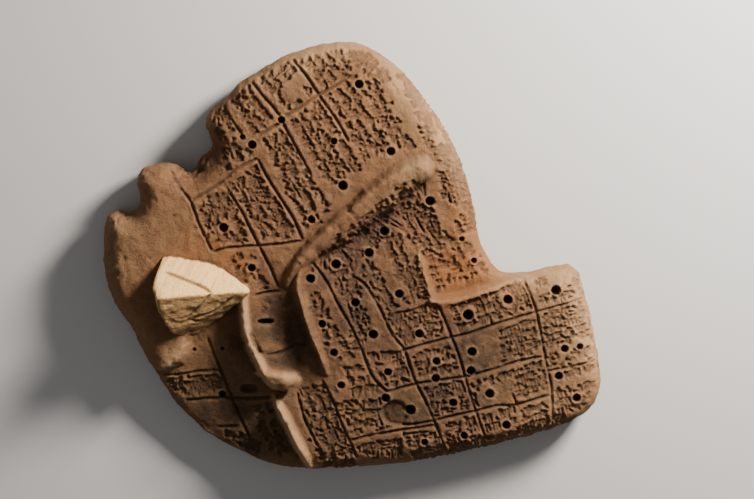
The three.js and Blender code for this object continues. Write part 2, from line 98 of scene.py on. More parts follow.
# ridges: stations of place, half-width to the left and to the right of the run, and height; how full the
# profile is at the start and end, from a tent to a bar; and how far it is slimmed to the left and right
ridges = [
    {"fullness": (2.5, 1.7), "slim": (1.0, 0.82), "clear": 3.4, "stations": [  # the gall bladder
        (28.2, 16.0, 1.8, 1.6, 0.5), (26.8, 16.4, 4.2, 4.2, 4.6), (23.6, 17.2, 6.4, 4.0, 5.8),
        (19.0, 17.0, 8.6, 3.6, 5.9), (14.2, 15.6, 9.4, 3.4, 5.6), (7.1, 12.8, 8.8, 3.2, 4.9),
        (1.3, 10.8, 7.4, 3.0, 4.2), (-4.8, 8.0, 4.6, 2.8, 3.4), (-9.6, 5.0, 2.6, 2.4, 2.4),
        (-12.2, 2.2, 1.4, 1.4, 0.5)]},
    {"fullness": (1.5, 1.5), "slim": (0.68, 0.55), "stations": [  # the yoke
        (-6.6, 5.6, 2.8, 1.8, 0.8), (-8.6, 3.5, 3.0, 3.0, 2.4), (-9.8, 0.8, 3.2, 4.2, 3.0),
        (-10.3, -3.2, 3.4, 4.0, 3.0), (-10.6, -8.6, 3.4, 3.8, 2.8), (-10.4, -14.6, 3.0, 3.4, 2.4),
        (-10.4, -19.6, 1.8, 1.8, 0.6)]},
    {"fullness": (1.4, 1.6), "slim": (0.6, 0.66), "stations": [  # the edge below the finger
        (-21.2, 5.0, 2.4, 2.6, 1.6), (-22.8, 0.4, 2.4, 4.6, 2.4), (-24.0, -5.2, 2.4, 5.0, 2.6),
        (-23.9, -9.4, 2.6, 4.8, 3.0), (-23.5, -13.4, 2.6, 4.6, 3.0), (-23.2, -16.6, 2.2, 3.4, 2.4),
        (-22.8, -18.4, 1.4, 1.8, 0.8)]},
    {"fullness": (2.0, 2.0), "slim": (0.95, 0.95), "stations": [  # its knob
        (-24.3, -14.4, 1.8, 2.6, 1.4), (-22.8, -15.3, 2.4, 5.0, 3.4), (-20.9, -16.3, 3.0, 6.4, 4.8),
        (-19.2, -17.2, 3.0, 6.2, 5.2), (-17.9, -18.1, 2.6, 4.0, 3.0), (-17.3, -18.6, 1.4, 1.8, 0.6)]},
    {"fullness": (1.5, 1.5), "slim": (0.85, 0.75), "stations": [  # the lower edge
        (-23.5, -21.4, 1.8, 2.2, 1.8), (-22.9, -24.4, 2.6, 3.8, 3.2), (-22.4, -29.7, 2.6, 3.8, 3.0),
        (-21.8, -34.6, 2.4, 3.2, 2.6), (-21.4, -38.4, 1.6, 2.0, 1.0)]},
    {"fullness": (1.4, 1.4), "slim": (0.7, 0.5), "stations": [  # the brow of the recess
        (17.9, 0.6, 1.2, 1.2, 0.2), (17.4, -4.0, 3.2, 2.4, 0.7), (16.9, -9.4, 3.4, 2.4, 0.9),
        (17.4, -12.6, 4.0, 3.0, 1.0), (21.2, -14.0, 3.6, 2.6, 1.0), (28.2, -14.6, 3.4, 2.4, 1.0),
        (34.4, -15.0, 3.0, 2.2, 0.7), (39.0, -16.2, 1.6, 1.4, 0.2)]},
    {"fullness": (1.7, 1.7), "slim": (1, 1), "stations": [  # the lip of the bare lobe
        (-37.2, 0.6, 2.6, 1.8, 0.3), (-39.4, -2.4, 4.6, 2.6, 0.7), (-41.2, -4.2, 4.6, 2.8, 0.8),
        (-44.0, -4.9, 3.6, 2.4, 0.4)]},
]

# the three-sided finger: line round its foot, places above it with their share of its rise, and its cracks
finger = {
    "rise": 16.5, "bury": 3, "voxel": 0.52, "rounding": 10,
    "crackWidth": 1.1, "crackDepth": 0.6,
    "uneven": [(6, 0.09), (2.4, 0.05), (0.9, 0.03)],  # size and height of what makes its skin uneven
    "pits": (0.8, 2.3, 0.32),  # size, how rare and how deep
    "foot": [(-20.7, 4.0), (-21.6, 6.6), (-24.1, 10.9), (-27.3, 13.4), (-32.0, 16.5), (-35.5, 17.8),
             (-37.0, 14.6), (-37.4, 9.4), (-37.8, 3.6), (-38.2, 0.0), (-36.2, -1.6), (-33.0, -1.2),
             (-25.3, 1.3)],
    "top": [(-38.9, 10.3, 1), (-38.0, 10.6, 0.99), (-29.0, 7.4, 0.52), (-37.5, 15.4, 0.42),
            (-39.2, 13.2, 0.68), (-39.6, 8.0, 0.8), (-39.8, 4.0, 0.55), (-39.6, 1.0, 0.3),
            (-19.8, 3.7, 0.2), (-21.5, 4.7, 0.32), (-21.6, 6.2, 0.17)],
    "cracks": [
        [(-35.8, 14.8), (-33.1, 12.6), (-30.4, 10.2), (-28.5, 8.4), (-27.5, 6.8)],
        [(-27.4, 7.0), (-29.1, 6.2), (-31.1, 5.2), (-34.0, 3.9), (-35.1, 3.4)],
        [(-35.1, 3.4), (-33.7, 2.1), (-32.3, 1.4)],
        [(-37.3, 2.7), (-33.0, 2.8), (-28.8, 2.7), (-23.9, 4.3)],
    ],
}

# the ruled lines: cut with a blade before the writing
ruled = {
    "width": 1.25, "depth": 0.95, "burr": 0.14,
    "clear": 0.85,  # no stroke is pressed nearer than this
    "lines": [
        [(-27.2, 35.6), (-26.6, 30.4), (-25.6, 27.2), (-25.6, 22.2), (-25.3, 18.7), (-25.0, 15.0)],
        [(-25.6, 27.2), (-21.8, 27.9), (-17.4, 29.0), (-13.6, 30.4), (-8.3, 31.1)],
        [(-17.0, 27.6), (-15.8, 21.7), (-14.9, 14.0), (-14.2, 8.2), (-13.9, 2.1)],
        [(-8.3, 31.1), (-7.6, 26.1), (-6.6, 21.2), (-5.5, 16.3), (-5.1, 10.4)],
        [(-3.8, 47.6), (-2.2, 43.3), (-0.4, 38.4), (-0.1, 35.5), (0.7, 30.0), (1.7, 23.0)],
        [(6.4, 49.3), (8.0, 45.2), (9.4, 39.5), (10.7, 34.8), (11.5, 31.2), (12.0, 27.5)],
        [(0.2, 37.7), (4.8, 38.6), (10.0, 39.8), (14.2, 40.4), (17.8, 41.4)],
        [(-11.4, 45.2), (-10.7, 41.2), (-9.7, 37.5)], [(-0.6, 36.8), (-3.8, 36.3), (-6.6, 35.7)],
        [(-25.1, 14.8), (-22.2, 14.7), (-17.7, 13.6), (-11.3, 11.7), (-5.1, 10.4)],
        [(-19.9, 2.4), (-17.8, 2.3), (-13.9, 1.4)], [(-23.2, -4.6), (-23.0, -7.8), (-22.6, -10.6)],
        [(-21.6, -11.2), (-18.0, -11.8), (-14.5, -11.2), (-12.7, -12.1)],
        [(-4.9, 5.1), (-3.6, 0.3), (-2.8, -5.3), (-1.8, -11.2), (-1.3, -17.4), (-1.1, -24.0), (0.9, -28.4)],
        [(2.0, -0.6), (4.3, -3.3), (5.7, -10.0), (6.3, -16.3), (7.6, -20.4), (7.4, -26.9), (8.0, -32.4),
         (8.4, -38.1), (8.5, -46.5)],
        [(18.2, -13.4), (18.5, -20.7), (18.6, -25.6), (18.1, -33.7), (17.9, -40.1), (17.9, -46.9)],
        [(28.2, -19.2), (27.9, -22.2)], [(27.0, -38.1), (27.1, -41.8)],
        [(38.0, -14.4), (38.3, -21.0), (37.7, -26.7), (36.5, -34.1), (35.6, -40.0), (32.9, -48.8)],
        [(8.5, -12.0), (12.3, -12.7), (16.6, -12.6)],
        [(6.6, -20.5), (11.3, -20.8), (17.7, -21.4), (22.7, -22.0), (28.0, -22.0), (33.3, -22.3),
         (38.4, -22.7), (43.7, -23.2), (50.1, -23.8)],
        [(1.0, -28.2), (7.2, -28.7), (12.2, -29.6), (16.1, -30.5), (19.7, -31.1), (24.1, -31.5),
         (31.1, -31.8), (36.2, -32.7)],
        [(8.9, -38.1), (13.3, -38.5), (18.0, -39.2), (22.4, -39.6), (26.7, -40.9), (34.6, -41.4)],
        [(-0.5, -35.6), (4.1, -37.3), (8.9, -38.1)],
        [(-10.8, -35.8), (-5.8, -36.4), (-0.6, -37.3), (8.5, -39.1)], [(35.5, -36.1), (47.9, -38.2)],
        [(-46.0, -7.9), (-41.7, -9.2), (-37.2, -10.1), (-32.4, -11.4)],
        [(-42.8, -15.4), (-39.5, -16.1), (-34.1, -17.8), (-28.9, -19.7), (-24.1, -21.0)],
        [(-33.1, -3.4), (-33.0, -7.1), (-32.9, -12.7), (-32.8, -18.8), (-32.6, -24.0), (-32.2, -28.7)],
        [(-38.6, -23.5), (-33.6, -24.8)], [(-12.0, -20.7), (-11.4, -26.3), (-11.3, -33.2), (-10.9, -37.2),
         (-10.9, -40.4)],
        [(-18.2, -21.4), (-18.8, -28.0), (-18.1, -34.6)],
    ],
}

# the peg holes: place and diameter, then two long dents with place, length, width, turn and depth
holes = {
    "depth": 4.6, "lip": 0.16,  # how high the clay stands up round them
    "clear": 0.75,  # no stroke is pressed nearer than this
    "round": [
        (-0.3, 37.3, 2.4), (-9.7, 36.6, 1.8), (-8.3, 34.3, 2.8), (9.0, 28.9, 2.2), (18.5, 38.8, 2.8),
        (7.4, 18.9, 3.1), (-1.7, 14.2, 2.5), (20.0, 22.4, 2.8), (-20.7, 19.1, 3.0), (24.4, 8.9, 3.1),
        (12.5, 5.9, 3.0), (7.6, 2.5, 3.0), (-0.2, 2.6, 3.1), (28.1, -1.6, 1.8), (29.0, -7.3, 2.0),
        (-18.0, 8.5, 2.6), (-6.6, 1.6, 3.0), (-7.6, -8.7, 2.6), (-7.4, -15.7, 2.6), (1.0, -6.7, 2.8),
        (10.9, -8.2, 2.8), (2.3, -14.8, 3.0), (12.0, -18.2, 2.8), (23.7, -18.0, 3.5), (33.2, -17.8, 3.1),
        (44.0, -19.6, 3.3), (21.7, -26.1, 3.0), (20.0, -30.1, 2.8), (44.8, -33.6, 2.3), (41.4, -32.8, 2.6),
        (38.1, -38.1, 2.8), (13.5, -25.4, 2.6), (12.0, -29.0, 2.6), (2.5, -24.0, 2.6), (-8.4, -23.2, 2.5),
        (0.0, -29.4, 2.8), (4.3, -33.9, 3.3), (13.8, -35.6, 2.6), (22.2, -36.5, 3.0), (23.3, -44.6, 2.8),
        (40.2, -44.2, 2.8), (13.6, -43.6, 2.4), (4.7, -42.0, 2.2), (-34.6, -16.8, 2.5), (-36.8, -4.8, 1.3),
        (-30.8, -6.8, 1.3),
    ],
    "long": [(-19.4, -4.0, 5.6, 1.8, -20, 3.5), (-28.3, -17.5, 6.4, 3.2, -20, 2.2)],
}

# the writing: panels of rows of wedge-shaped strokes. Each panel has rungs across its rows, from the first
# to the last, the pitch of the rows in mm, the share of the full depth, and the share of places filled.
writing = {
    "seed": 11, "step": 1.25, "press": 3.1, "deepest": 1.25,
    "furrowWidth": 1.2, "furrowShare": {"rows": 0.22, "columns": 0.34},
    # up to which share of the signs have strokes across the row, then along it; the rest slant
    "acrossTo": 0.44, "alongTo": {"rows": 0.68, "columns": 0.6}, "longest": {"rows": 2.5, "columns": 2.0},
    "widths": {"across": 1.25, "through": 1.1, "along": 1.05, "slanting": 1.4, "corner": 1.3},
    "panels": [
        ([((-13.9, 44.0), (-11.6, 44.6)), ((-15.5, 39.0), (-10.2, 37.5))], 3.2, 0.45, 0.7),
        ([((-10.0, 45.0), (-4.4, 46.7)), ((-8.2, 37.7), (-1.8, 38.0))], 2.9, 0.45, 0.85),
        ([((-2.5, 47.4), (5.5, 48.7)), ((1.4, 38.2), (8.8, 40.5))], 3.0, 0.5, 0.9),
        ([((7.4, 48.3), (17.7, 47.4)), ((10.8, 40.2), (18.7, 41.1))], 3.0, 0.45, 0.9),
        ([((18.4, 46.8), (23.2, 44.6)), ((19.9, 40.7), (26.2, 36.0))], 3.2, 0.45, 0.75),
        ([((-15.6, 38.3), (-8.5, 36.9)), ((-16.1, 29.9), (-8.4, 31.6))], 3.2, 0.4, 0.7),
        ([((-25.1, 26.1), (-17.1, 27.2)), ((-24.1, 15.5), (-16.2, 13.8))], 3.2, 0.45, 0.7),
        ([((-16.2, 27.1), (-8.9, 30.2)), ((-13.9, 14.2), (-5.8, 11.7))], 3.0, 0.55, 0.95),
        ([((-6.0, 34.3), (-0.8, 35.5)), ((-4.3, 11.9), (3.6, 15.4))], 3.1, 0.6, 1),
        ([((1.0, 35.8), (9.1, 38.7)), ((4.2, 19.5), (12.5, 21.7))], 3.1, 0.6, 1),
        ([((10.1, 38.8), (17.0, 40.3)), ((13.4, 22.1), (20.3, 23.6))], 3.1, 0.55, 1),
        ([((17.9, 40.2), (23.9, 37.4)), ((20.6, 23.2), (25.4, 20.8))], 3.1, 0.5, 0.95),
        ([((26.8, 38.1), (32.7, 37.6)), ((27.2, 31.1), (35.3, 29.5)), ((27.4, 23.8), (36.7, 21.4)),
          ((28.1, 16.5), (37.7, 13.9)), ((26.6, 8.5), (36.7, 5.8)), ((27.8, -0.1), (34.8, -2.0))], 2.7,
          0.85, 1.35),
        ([((-22.8, 12.6), (-17.0, 12.2)), ((-21.0, 6.0), (-16.2, 4.0))], 3.2, 0.35, 0.55),
        ([((23.0, 15.5), (24.3, 12.6)), ((18.5, 14.7), (18.9, 11.3)), ((13.3, 13.5), (14.3, 9.1)),
          ((7.2, 11.7), (8.8, 6.9)), ((1.8, 9.9), (3.4, 5.0)), ((-3.6, 7.3), (-2.8, 4.4))], 3.4, 0.5, 1),
        ([((17.3, 10.9), (24.0, 8.0)), ((17.7, 3.6), (25.0, 1.4)), ((19.0, -2.1), (26.6, -2.0))], 2.3, 0.85,
         1),
        ([((16.0, 10.4), (13.3, 9.5)), ((10.4, 8.2), (9.7, 3.6)), ((5.3, 7.2), (4.7, 1.6)),
          ((0.6, 6.0), (0.1, 1.9))],
         3.4, 0.8, 0.95),
        ([((18.8, -2.5), (29.1, -2.9)), ((18.4, -11.5), (32.0, -10.7))], 3.2, 0.3, 0.6),
        ([((-8.9, -2.0), (-6.0, -1.7)), ((-8.9, -9.7), (-4.9, -9.2)), ((-8.2, -18.2), (-3.5, -17.0))], 3.2,
         0.4, 0.8),
        ([((-2.8, 3.0), (3.1, 2.2)), ((-2.4, -4.9), (3.0, -4.4)), ((-3.4, -16.6), (2.1, -14.7))], 3.1, 0.45,
         0.9),
        ([((3.3, 0.2), (8.1, 0.4)), ((4.6, -7.9), (9.2, -8.2)), ((7.2, -19.0), (10.8, -18.3))], 3.1, 0.5,
         0.95),
        ([((10.9, 5.6), (18.0, 3.0)), ((11.4, -2.2), (17.8, -4.1)), ((11.1, -10.8), (17.0, -11.5))], 3.1,
         0.5, 1),
        ([((6.7, -11.3), (8.1, -19.8)), ((17.4, -13.1), (17.6, -20.4))], 3.1, 0.5, 0.9),
        ([((-0.6, -18.1), (1.0, -28.3)), ((7.2, -20.4), (7.0, -28.1))], 3.1, 0.5, 0.9),
        ([((8.9, -22.0), (8.8, -27.8)), ((17.6, -22.3), (18.0, -29.2))], 2.8, 0.5, 1),
        ([((8.8, -30.2), (9.2, -37.1)), ((18.2, -31.2), (18.0, -38.4))], 2.8, 0.55, 1),
        ([((-6.7, -19.2), (-6.9, -26.4)), ((-1.3, -20.2), (-0.7, -27.7))], 3.1, 0.45, 0.8),
        ([((-11.2, -26.3), (-9.8, -35.6)), ((-0.8, -29.1), (-1.5, -37.6))], 3.0, 0.6, 1),
        ([((0.6, -38.4), (0.9, -44.3)), ((8.1, -40.2), (8.5, -45.7))], 3.1, 0.45, 0.8),
        ([((-10.0, -37.5), (-9.9, -40.9)), ((-0.7, -39.4), (-0.2, -43.5))], 3.6, 0.6, 0.8),
        ([((-19.3, -21.0), (-11.9, -21.7)), ((-19.6, -29.6), (-11.4, -30.6)),
          ((-18.9, -38.1), (-11.4, -39.9))],
         2.7, 0.85, 1),
        ([((20.6, -14.7), (20.3, -20.8)), ((29.4, -14.8), (28.1, -21.0))], 2.8, 0.5, 0.95),
        ([((30.1, -14.8), (29.0, -21.1)), ((38.4, -14.7), (38.0, -21.7))], 2.7, 0.5, 1),
        ([((40.3, -15.4), (39.8, -21.9)), ((46.7, -15.8), (48.5, -22.9))], 3.0, 0.5, 0.8),
        ([((39.3, -23.4), (37.4, -31.4)), ((48.7, -24.2), (48.0, -32.4))], 2.6, 0.55, 1),
        ([((29.1, -23.6), (27.2, -31.6)), ((38.0, -23.7), (36.1, -31.9))], 2.6, 0.55, 1),
        ([((37.3, -32.3), (36.1, -39.2)), ((47.4, -34.1), (46.7, -40.1))], 2.9, 0.45, 0.75),
        ([((19.1, -32.2), (18.7, -34.5)), ((28.2, -32.7), (28.1, -35.0))], 2.8, 0.5, 1),
        ([((29.0, -33.2), (27.6, -39.7)), ((36.2, -33.6), (34.8, -40.1))], 2.7, 0.55, 1),
        ([((36.1, -40.6), (34.8, -46.9)), ((45.5, -42.1), (41.4, -46.9))], 2.9, 0.45, 0.85),
        ([((19.0, -40.5), (18.4, -44.9)), ((26.5, -40.8), (26.3, -45.3))], 3.2, 0.45, 0.7),
        ([((27.7, -41.9), (26.5, -47.3)), ((34.2, -42.6), (32.7, -48.1))], 2.8, 0.5, 0.9),
        ([((9.7, -39.8), (9.2, -45.0)), ((17.8, -39.8), (17.0, -45.8))], 3.2, 0.5, 0.8),
        ([((1.1, -43.0), (1.1, -49.5)), ((14.7, -45.0), (14.7, -52.0)), ((28.4, -47.0), (28.3, -54.0)),
          ((36.6, -46.5), (38.6, -53.4))], 2.7, 0.6, 0.95),
        ([((48.0, -17.5), (53.5, -17.5)), ((48.9, -24.4), (54.0, -24.4)), ((48.2, -32.6), (53.2, -33.0)),
          ((46.9, -40.3), (51.5, -41.5))], 2.8, 0.22, 0.7),
        ([((-18.9, -38.6), (-11.4, -40.4)), ((-19.5, -43.5), (-11.6, -46.5))], 2.7, 0.7, 1),
        ([((-45.4, -9.0), (-44.0, -13.4)), ((-33.9, -12.0), (-33.3, -16.3))], 2.6, 0.5, 0.95),
        ([((-29.2, -21.4), (-24.4, -22.0)), ((-30.0, -27.3), (-25.0, -28.1)),
          ((-29.6, -33.3), (-24.3, -34.7))],
         3.0, 0.5, 0.8),
        ([((-37.4, -24.6), (-35.0, -29.8)), ((-31.9, -28.0), (-30.7, -32.4))], 3.0, 0.4, 0.8),
    ],
    # deep strokes that fan out below the gall bladder: the line that they start on, then their spacing,
    # shortest and longest length, and depth in mm
    "fan": ([(24.2, 12.2), (20.4, 11.0), (16.5, 9.2), (12.7, 6.7), (7.8, 4.9), (2.6, 4.2), (-2.4, 4.2),
             (-5.9, 5.0)],
            1.35, (3.0, 6.5), 1.2),
    # patches left bare or worn smooth: place and radius in mm
    "bare": [(4.4, 42.6, 3.9), (24.8, 34.7, 3.6), (25.1, 30.3, 3.6), (25.8, 25.8, 3.0), (26.9, 4.8, 4.6),
             (31.1, 21.0, 1.6), (4.2, -33.9, 5.2), (23.5, -26.4, 4.6), (45.2, -18.6, 3.6),
             (21.7, -36.8, 3.3)],
}


def place(points):  # from percent of the width and length to mm
    return np.array(points, float)[..., :2] * (slab["width"] / 100, slab["length"] / 100)


def smooth(share):
    t = np.clip(share, 0, 1)
    return t * t * (3 - 2 * t)


def ovalShares(x, y, at, spread, turn):  # how far along and across a turned oval, as shares of its reach
    u, v = place(at)
    c, s = math.cos(math.radians(turn)), math.sin(math.radians(turn))
    return ((x - u) * c + (y - v) * s) / spread[0], ((y - v) * c - (x - u) * s) / spread[1]


def curveThrough(points, step, closed=False):  # even points on a smooth curve; further columns follow along
    p = np.asarray(points, float)
    p = np.vstack([p[-1], p, p[:2]]) if closed else np.vstack([2 * p[0] - p[1], p, 2 * p[-1] - p[-2]])
    knots = np.concatenate([[0], np.cumsum(np.sqrt(np.linalg.norm(np.diff(p[:, :2], axis=0), axis=1)))])
    made = []
    for i in range(1, len(p) - 2):
        t = np.linspace(knots[i], knots[i + 1], 14, endpoint=False)[:, None]
        k = knots[i - 1:i + 3]
        legs = [((k[j + 1] - t) * p[i - 1 + j] + (t - k[j]) * p[i + j]) / (k[j + 1] - k[j]) for j in range(3)]
        pairs = [((k[j + 2] - t) * legs[j] + (t - k[j]) * legs[j + 1]) / (k[j + 2] - k[j]) for j in range(2)]
        made.append(((k[2] - t) * pairs[0] + (t - k[1]) * pairs[1]) / (k[2] - k[1]))
    made = np.vstack(made + [p[1:2] if closed else p[-2:-1]])
    run = np.concatenate([[0], np.cumsum(np.linalg.norm(np.diff(made[:, :2], axis=0), axis=1))])
    even = np.linspace(0, run[-1], max(2, int(run[-1] / step)) + 1)
    made = np.stack([np.interp(even, run, column) for column in made.T], axis=1)
    return made[:-1] if closed else made


def nearestOn(points, line, closed=False):  # distance, place along it counted in points, side (+ left)
    best = np.full(len(points), 1e9)
    along = np.zeros(len(points))
    side = np.ones(len(points))
    for i in range(len(line) if closed else len(line) - 1):
        a, b = line[i, :2], line[(i + 1) % len(line), :2]
        run = b - a
        away = points - a
        t = np.clip(away @ run / (run @ run), 0, 1)
        gap = away - t[:, None] * run
        far = gap[:, 0] ** 2 + gap[:, 1] ** 2
        closer = far < best
        best = np.where(closer, far, best)
        along = np.where(closer, i + t, along)
        side = np.where(closer, np.sign(run[0] * away[:, 1] - run[1] * away[:, 0]), side)
    return np.sqrt(best), along, side


def within(points, corners):
    inside = np.zeros(len(points), bool)
    for (ax, ay), (bx, by) in zip(corners, np.roll(corners, -1, axis=0)):
        if ay == by:
            continue
        crosses = (ay > points[:, 1]) != (by > points[:, 1])
        inside ^= crosses & (points[:, 0] < ax + (points[:, 1] - ay) / (by - ay) * (bx - ax))
    return inside


outline = curveThrough(place(slab["outline"]), 0.7, closed=True)


def insetOf(points):  # how far inside the outline, exact in the rim's band
    reach, cell = 90, 1.5  # of a coarse grid, which does for the middle
    gridX, gridY = np.meshgrid(*[np.arange(-reach, reach + 1, cell)] * 2)
    spots = np.stack([gridX.ravel(), gridY.ravel()], axis=1)
    signed = nearestOn(spots, outline[::2], closed=True)[0] * np.where(within(spots, outline), 1, -1)
    inset = sampled(signed.reshape(gridX.shape), points, -reach, cell)
    band = np.abs(inset) < slab["rimRun"] + 2
    exact = nearestOn(points[band], outline, closed=True)[0]
    inset[band] = exact * np.where(within(points[band], outline), 1, -1)
    return inset


def sampled(raster, points, low, cell):
    x = np.clip((points[:, 0] - low) / cell, 0, raster.shape[1] - 1.001)
    y = np.clip((points[:, 1] - low) / cell, 0, raster.shape[0] - 1.001)
    i, j = x.astype(int), y.astype(int)
    u, v = x - i, y - j
    return ((raster[j, i] * (1 - u) + raster[j, i + 1] * u) * (1 - v)
            + (raster[j + 1, i] * (1 - u) + raster[j + 1, i + 1] * u) * v)


def faceHeight(points):  # the written face before its rim is rounded
    height = np.full(len(points), float(slab["height"]))
    for at, spread, turn, rise in slab["swells"]:
        x, y = ovalShares(*points.T, at, spread, turn)
        height += rise * np.exp(-x ** 2 - y ** 2)
    for corners, depth, run, deepest, carry in slab["sunk"]:
        corners = place(corners)
        wall = smooth(nearestOn(points, corners, closed=True)[0] / run) * within(points, corners)
        height -= depth * wall * np.exp(-(np.linalg.norm(points - place(deepest), axis=1) / carry) ** 2)
    return height


def roundedHeight(points, inset):
    turn = np.sqrt(1 - (1 - np.clip(inset / slab["rimRun"], 0, 1)) ** 2)
    return slab["rimHeight"] + (faceHeight(points) - slab["rimHeight"]) * turn


def withRidges(points, base):
    height = base.copy()
    for ridge in ridges:
        stations = np.array([(*place([s[0:2]])[0], *s[2:]) for s in ridge["stations"]])
        run = curveThrough(stations, 0.8)
        uneven = np.convolve(rng.standard_normal(len(run) + 6), np.ones(7) / 2.6, "valid")
        run[:, 2:4] *= np.array(ridge["slim"]) * (1 + 0.05 * uneven[::-1, None])
        tops = roundedHeight(run[:, :2], insetOf(run[:, :2])) + run[:, 4] * (1 + 0.035 * uneven)
        reach = run[:, 2:4].max() * 1.5
        low, high = run[:, :2].min(axis=0) - reach, run[:, :2].max(axis=0) + reach
        near = np.all((points > low) & (points < high), axis=1)
        gap, along, side = nearestOn(points[near], run)
        values = (*run[:, 2:4].T, tops)
        left, right, top = (np.interp(along, np.arange(len(run)), each) for each in values)
        wide = np.where(side > 0, left, right)
        start, end = ridge["fullness"]
        crown = 1 - (gap / wide) ** (start + (end - start) * (along / len(run)) ** 2)
        crown = np.where(gap < 1.6 * wide, (crown + np.sqrt(crown ** 2 + 0.006)) / 2, 0)
        crown *= smooth((1.6 * wide - gap) / (0.5 * wide))
        height[near] = np.maximum(height[near], base[near] + (top - base[near]) * np.minimum(crown, 1))
    return height


# the relief: a fine chart of what is cut and worn into the face, in mm, laid over it and round its rim
chart = {"reach": 90, "cell": 0.16}
chart["count"] = int(2 * chart["reach"] / chart["cell"]) + 1
rng = np.random.default_rng(writing["seed"])
frequencies = np.hypot(np.fft.fftfreq(chart["count"], chart["cell"])[:, None],
                       np.fft.rfftfreq(chart["count"], chart["cell"])[None, :])


def softened(raster, spread):
    blur = np.exp(-2 * (math.pi * spread * frequencies) ** 2)
    return np.fft.irfft2(np.fft.rfft2(raster) * blur, s=raster.shape)


def clayNoise(size):  # even, cloudy unevenness of about the given size in mm, from about -2 to 2
    made = np.fft.rfft2(rng.standard_normal((chart["count"], chart["count"])))
    made = np.fft.irfft2(made * np.exp(-(frequencies * size) ** 2) * frequencies, s=(chart["count"],) * 2)
    return made / made.std()


def unevenness(layers):  # several sizes of it, each with its height
    return sum(height * clayNoise(size) for size, height in layers)


def fewSpots(size, above, edge):  # 1 in the few places where it stands above a level
    return smooth((clayNoise(size) - above) / edge)


def charted(points):
    return (np.asarray(points, float) + chart["reach"]) / chart["cell"]


def onChart(raster, points):
    return sampled(raster, points, -chart["reach"], chart["cell"])


def window(low, high):  # the chart's rows and columns over a box, and the places of their points
    i, j = np.maximum(np.floor(charted(low)).astype(int), 0)
    k, l = np.minimum(np.ceil(charted(high)).astype(int) + 1, chart["count"])
    x, y = np.meshgrid(*[np.arange(*ends) * chart["cell"] - chart["reach"] for ends in ((i, k), (j, l))])
    return (slice(j, l), slice(i, k)), x, y


def windowAt(at, reach):  # the chart about a place, and how far each of its points is from there
    part, x, y = window(at - reach, at + reach)
    return part, x - at[0], y - at[1]


def windowAlong(run, reach):  # the chart about a line, with each point's distance and place along it
    part, x, y = window(run.min(axis=0) - reach, run.max(axis=0) + reach)
    gap, along, _ = nearestOn(np.stack([x.ravel(), y.ravel()], axis=1), run)
    return part, gap.reshape(x.shape), along.reshape(x.shape)


def cutLine(cut, points, wide, deep, taper=0.0, uneven=0.12):  # a blade drawn along a line
    run = curveThrough(points, 1.0)
    run = run + rng.normal(0, 0.03, run.shape)
    depths = deep * (1 + uneven * np.convolve(rng.standard_normal(len(run) + 4), np.ones(5) / 2.2, "valid"))
    if taper:
        ends = np.minimum(np.arange(len(run)), np.arange(len(run))[::-1]) + 0.4
        depths = depths * smooth(ends / taper)
    part, gap, along = windowAlong(run, wide)
    trough = np.clip(1 - gap / (wide / 2), 0, None) ** 0.8 * np.interp(along, np.arange(len(run)), depths)
    cut[part] = np.maximum(cut[part], trough)


def pressWedge(cut, at, way, long, wide, deep):  # one touch of a stylus: a broad head that tapers to a tail
    part, x, y = windowAt(at, long + wide)
    u = x * way[0] + y * way[1] + long * 0.4
    v = y * way[0] - x * way[1]
    share = np.clip(u / long, 0, 1)
    half = wide / 2 * (1 - share) ** 0.8 + 0.2
    shape = np.clip(1 - np.abs(v) / half, 0, 1) ** 0.6 * (1 - 0.38 * share)
    shape *= smooth((u + 0.22) / 0.3) * smooth((long - u) / (0.25 * long))
    cut[part] = np.maximum(cut[part], deep * shape)


def reserved():  # where no stroke is pressed: lines, holes, the gall bladder's crest and bare patches
    kept = np.zeros((chart["count"],) * 2, bool)
    crest = [station[0:2] for station in ridges[0]["stations"][1:8]]
    for line, clear in [(line, ruled["clear"]) for line in ruled["lines"]] + [(crest, ridges[0]["clear"])]:
        part, gap, _ = windowAlong(curveThrough(place(line), 0.8), clear + 0.65)
        kept[part] |= gap < clear
    for u, v, across in holes["round"]:
        clear = across / 2 + holes["clear"]
        part, x, y = windowAt(place((u, v)), clear)
        kept[part] |= np.hypot(x, y) < clear
    for u, v, radius in writing["bare"]:
        part, x, y = windowAt(place((u, v)), radius * 1.3)
        ring = radius * (1 + 0.12 * np.sin(3 * np.arctan2(y, x) + u))
        kept[part] |= np.hypot(x, y) < ring
    return kept


